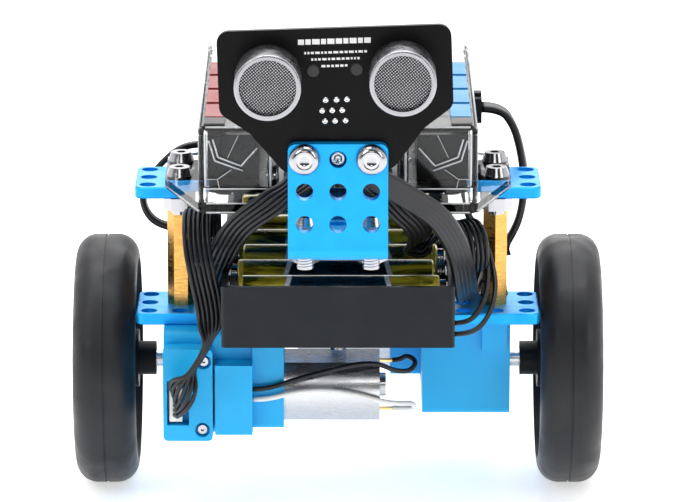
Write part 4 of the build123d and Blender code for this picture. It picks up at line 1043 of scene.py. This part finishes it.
piece_of("screw_threads", screw_threads(), SCREW_STEEL)
piece_of("holder_springs", holder_springs(), SCREW_STEEL)
piece_of("encoder_slot_shade", encoder_slot_shade(), BLACK_PARTS_AND_SLOT_SHADE, smooth=False)
piece_of("port_pins", port_pins(), BRASS_PIN, smooth=False)
piece_of("motor_socket_slot_shade", motor_socket_slot_shade(), BLACK_PARTS_AND_SLOT_SHADE, smooth=False)
piece_of("terminal_solder", terminal_solder(), SOLDER)
piece_of("board_chips", board_chips(), SOLDER, smooth=False)

# ------------------------------------------------------------------ painted highlights on the clear case's edges
FACE_Y = -54.45  # just inside the front face of the case's corner blocks
EDGE_R = 0.22 * MM


def add_bars(bm, points, radius):
    """A thin round bar through each pair of neighbouring points."""
    for a, b in zip(points, points[1:]):
        start, end = place(*a), place(*b)
        add_wire(bm, [start, start.lerp(end, 0.5), end], radius, 6)


# painted highlight lines along the ribs on the face of the right corner block: thickness in EDGE_R,
# then (x, z) points
FACE_RIBS = (
    (1.0, ((31.8, 103.1), (30.3, 98.0), (23.4, 95.5))),
    (1.0, ((30.8, 103.4), (29.5, 98.9), (23.9, 96.7), (19.9, 101.2))),
    (0.4, ((24.5, 104.4), (27.2, 98.7))),
    (0.5, ((32.8, 93.3), (29.7, 93.3), (26.2, 95.8))),
    (0.5, ((29.7, 93.3), (29.2, 91.0))),
    (1.0, ((16.5, 90.9), (32.5, 90.9))),
    (1.0, ((16.5, 87.2), (32.5, 87.2))),
    (1.0, ((16.5, 84.9), (32.5, 84.9))),
    (1.3, ((16.6, 91.6), (16.6, 104.8))),
    (1.3, ((32.6, 91.6), (32.6, 104.8))),
)


def case_edge_highlights():
    """Pale lines where the clear case's ribs and edges catch the light."""
    bm = bmesh.new()
    for side in SIDES:
        for thickness, corners in FACE_RIBS:
            add_bars(bm, [(side * x, FACE_Y, z) for x, z in corners], EDGE_R * thickness)
        add_bars(bm, [(side * x, -53.4, 106.2) for x in (16.6, 32.6)], EDGE_R * 1.3)
        add_bars(bm, [(side * 34.2, y, 106.0) for y in (-50.0, 50.0)], EDGE_R)
        ear = ((34.4, -52.8), (43.2, -27.6), (43.2, -4.8))
        add_bars(bm, [(side * x, y, 85.0) for x, y in ear], EDGE_R * 1.2)
    return bm


piece_of("case_edge_highlights", case_edge_highlights(), EDGE_HIGHLIGHT_PAINT)


# ------------------------------------------------------------------ stage, lights and camera
def area_light(name, location, target, width, height, power):
    """A rectangular lamp of that size in metres and power in watts, aimed at target."""
    light = bpy.data.lights.new(name, "AREA")
    light.shape = "RECTANGLE"
    light.size = width
    light.size_y = height
    light.energy = power
    lamp = bpy.data.objects.new(name, light)
    lamp.location = location
    lamp.rotation_euler = (Vector(target) - Vector(location)).to_track_quat("-Z", "Y").to_euler()
    bpy.context.scene.collection.objects.link(lamp)


def make_floor():
    bm = bmesh.new()
    bmesh.ops.create_grid(bm, x_segments=2, y_segments=2, size=6.0)
    mesh = bpy.data.meshes.new("floor")
    bm.to_mesh(mesh)
    bm.free()
    floor = bpy.data.objects.new("floor", mesh)
    bpy.context.scene.collection.objects.link(floor)
    paper = Finish("pale_floor", (0.88, 0.88, 0.88), 0.8, Emission_Strength=0.56)
    paper.shader.inputs["Emission Color"].default_value = (1.0, 1.0, 1.0, 1.0)
    paper.mottle(paper.noise(0.3, 2), 0.01)
    dress(floor, paper)


FRONT_SKY = 0.06
BACK_SKY = 1.15


def make_world():
    """A white sky that is dim in front of the object and bright behind it, as in a light tent."""
    world = bpy.data.worlds.new("studio")
    world.use_nodes = True
    tree = world.node_tree
    sky = tree.nodes["Background"]
    sky.inputs["Color"].default_value = (1.0, 1.0, 1.0, 1.0)
    where = tree.nodes.new("ShaderNodeTexCoord")
    split = tree.nodes.new("ShaderNodeSeparateXYZ")
    fade = tree.nodes.new("ShaderNodeMapRange")
    fade.interpolation_type = "SMOOTHSTEP"
    limits = (("From Min", -0.75), ("From Max", 0.05), ("To Min", FRONT_SKY), ("To Max", BACK_SKY))
    for key, number in limits:
        fade.inputs[key].default_value = number
    tree.links.new(where.outputs["Generated"], split.inputs["Vector"])
    tree.links.new(split.outputs["Y"], fade.inputs["Value"])
    tree.links.new(fade.outputs["Result"], sky.inputs["Strength"])
    bpy.context.scene.world = world


def make_lights():
    area_light("key", (-0.75, -0.95, 1.0), (0, 0, 0.06), 0.55, 0.7, 6.5)
    area_light("fill", (0.95, -0.8, 0.6), (0, 0, 0.06), 0.4, 0.7, 3.0)
    area_light("front", (0.0, -1.5, 0.75), (0, 0, 0.06), 0.5, 0.25, 1.2)
    area_light("top", (0.0, 0.1, 1.3), (0, 0, 0.05), 1.0, 1.0, 9)
    area_light("back", (0.2, 1.2, 0.8), (0, 0, 0.08), 1.2, 0.7, 6)


CAMERA_TILT = 14.7  # degrees below level
CAMERA_DISTANCE = 1.3


def make_camera():
    """The camera looks along +Y and down at the object."""
    camera = bpy.data.cameras.new("camera")
    camera.lens = 268.0
    camera.sensor_width = 36.0
    camera.shift_y = 0.0047
    camera.clip_start = 0.05
    camera.clip_end = 20.0
    holder = bpy.data.objects.new("camera", camera)
    tilt = math.radians(CAMERA_TILT)
    target = place(0, 0, 60)
    holder.location = target + Vector((0, -math.cos(tilt), math.sin(tilt))) * CAMERA_DISTANCE
    holder.rotation_euler = (math.radians(90) - tilt, 0, 0)
    bpy.context.scene.collection.objects.link(holder)
    bpy.context.scene.camera = holder


make_floor()
make_world()
make_lights()
make_camera()
bpy.context.scene.view_settings.view_transform = "Standard"
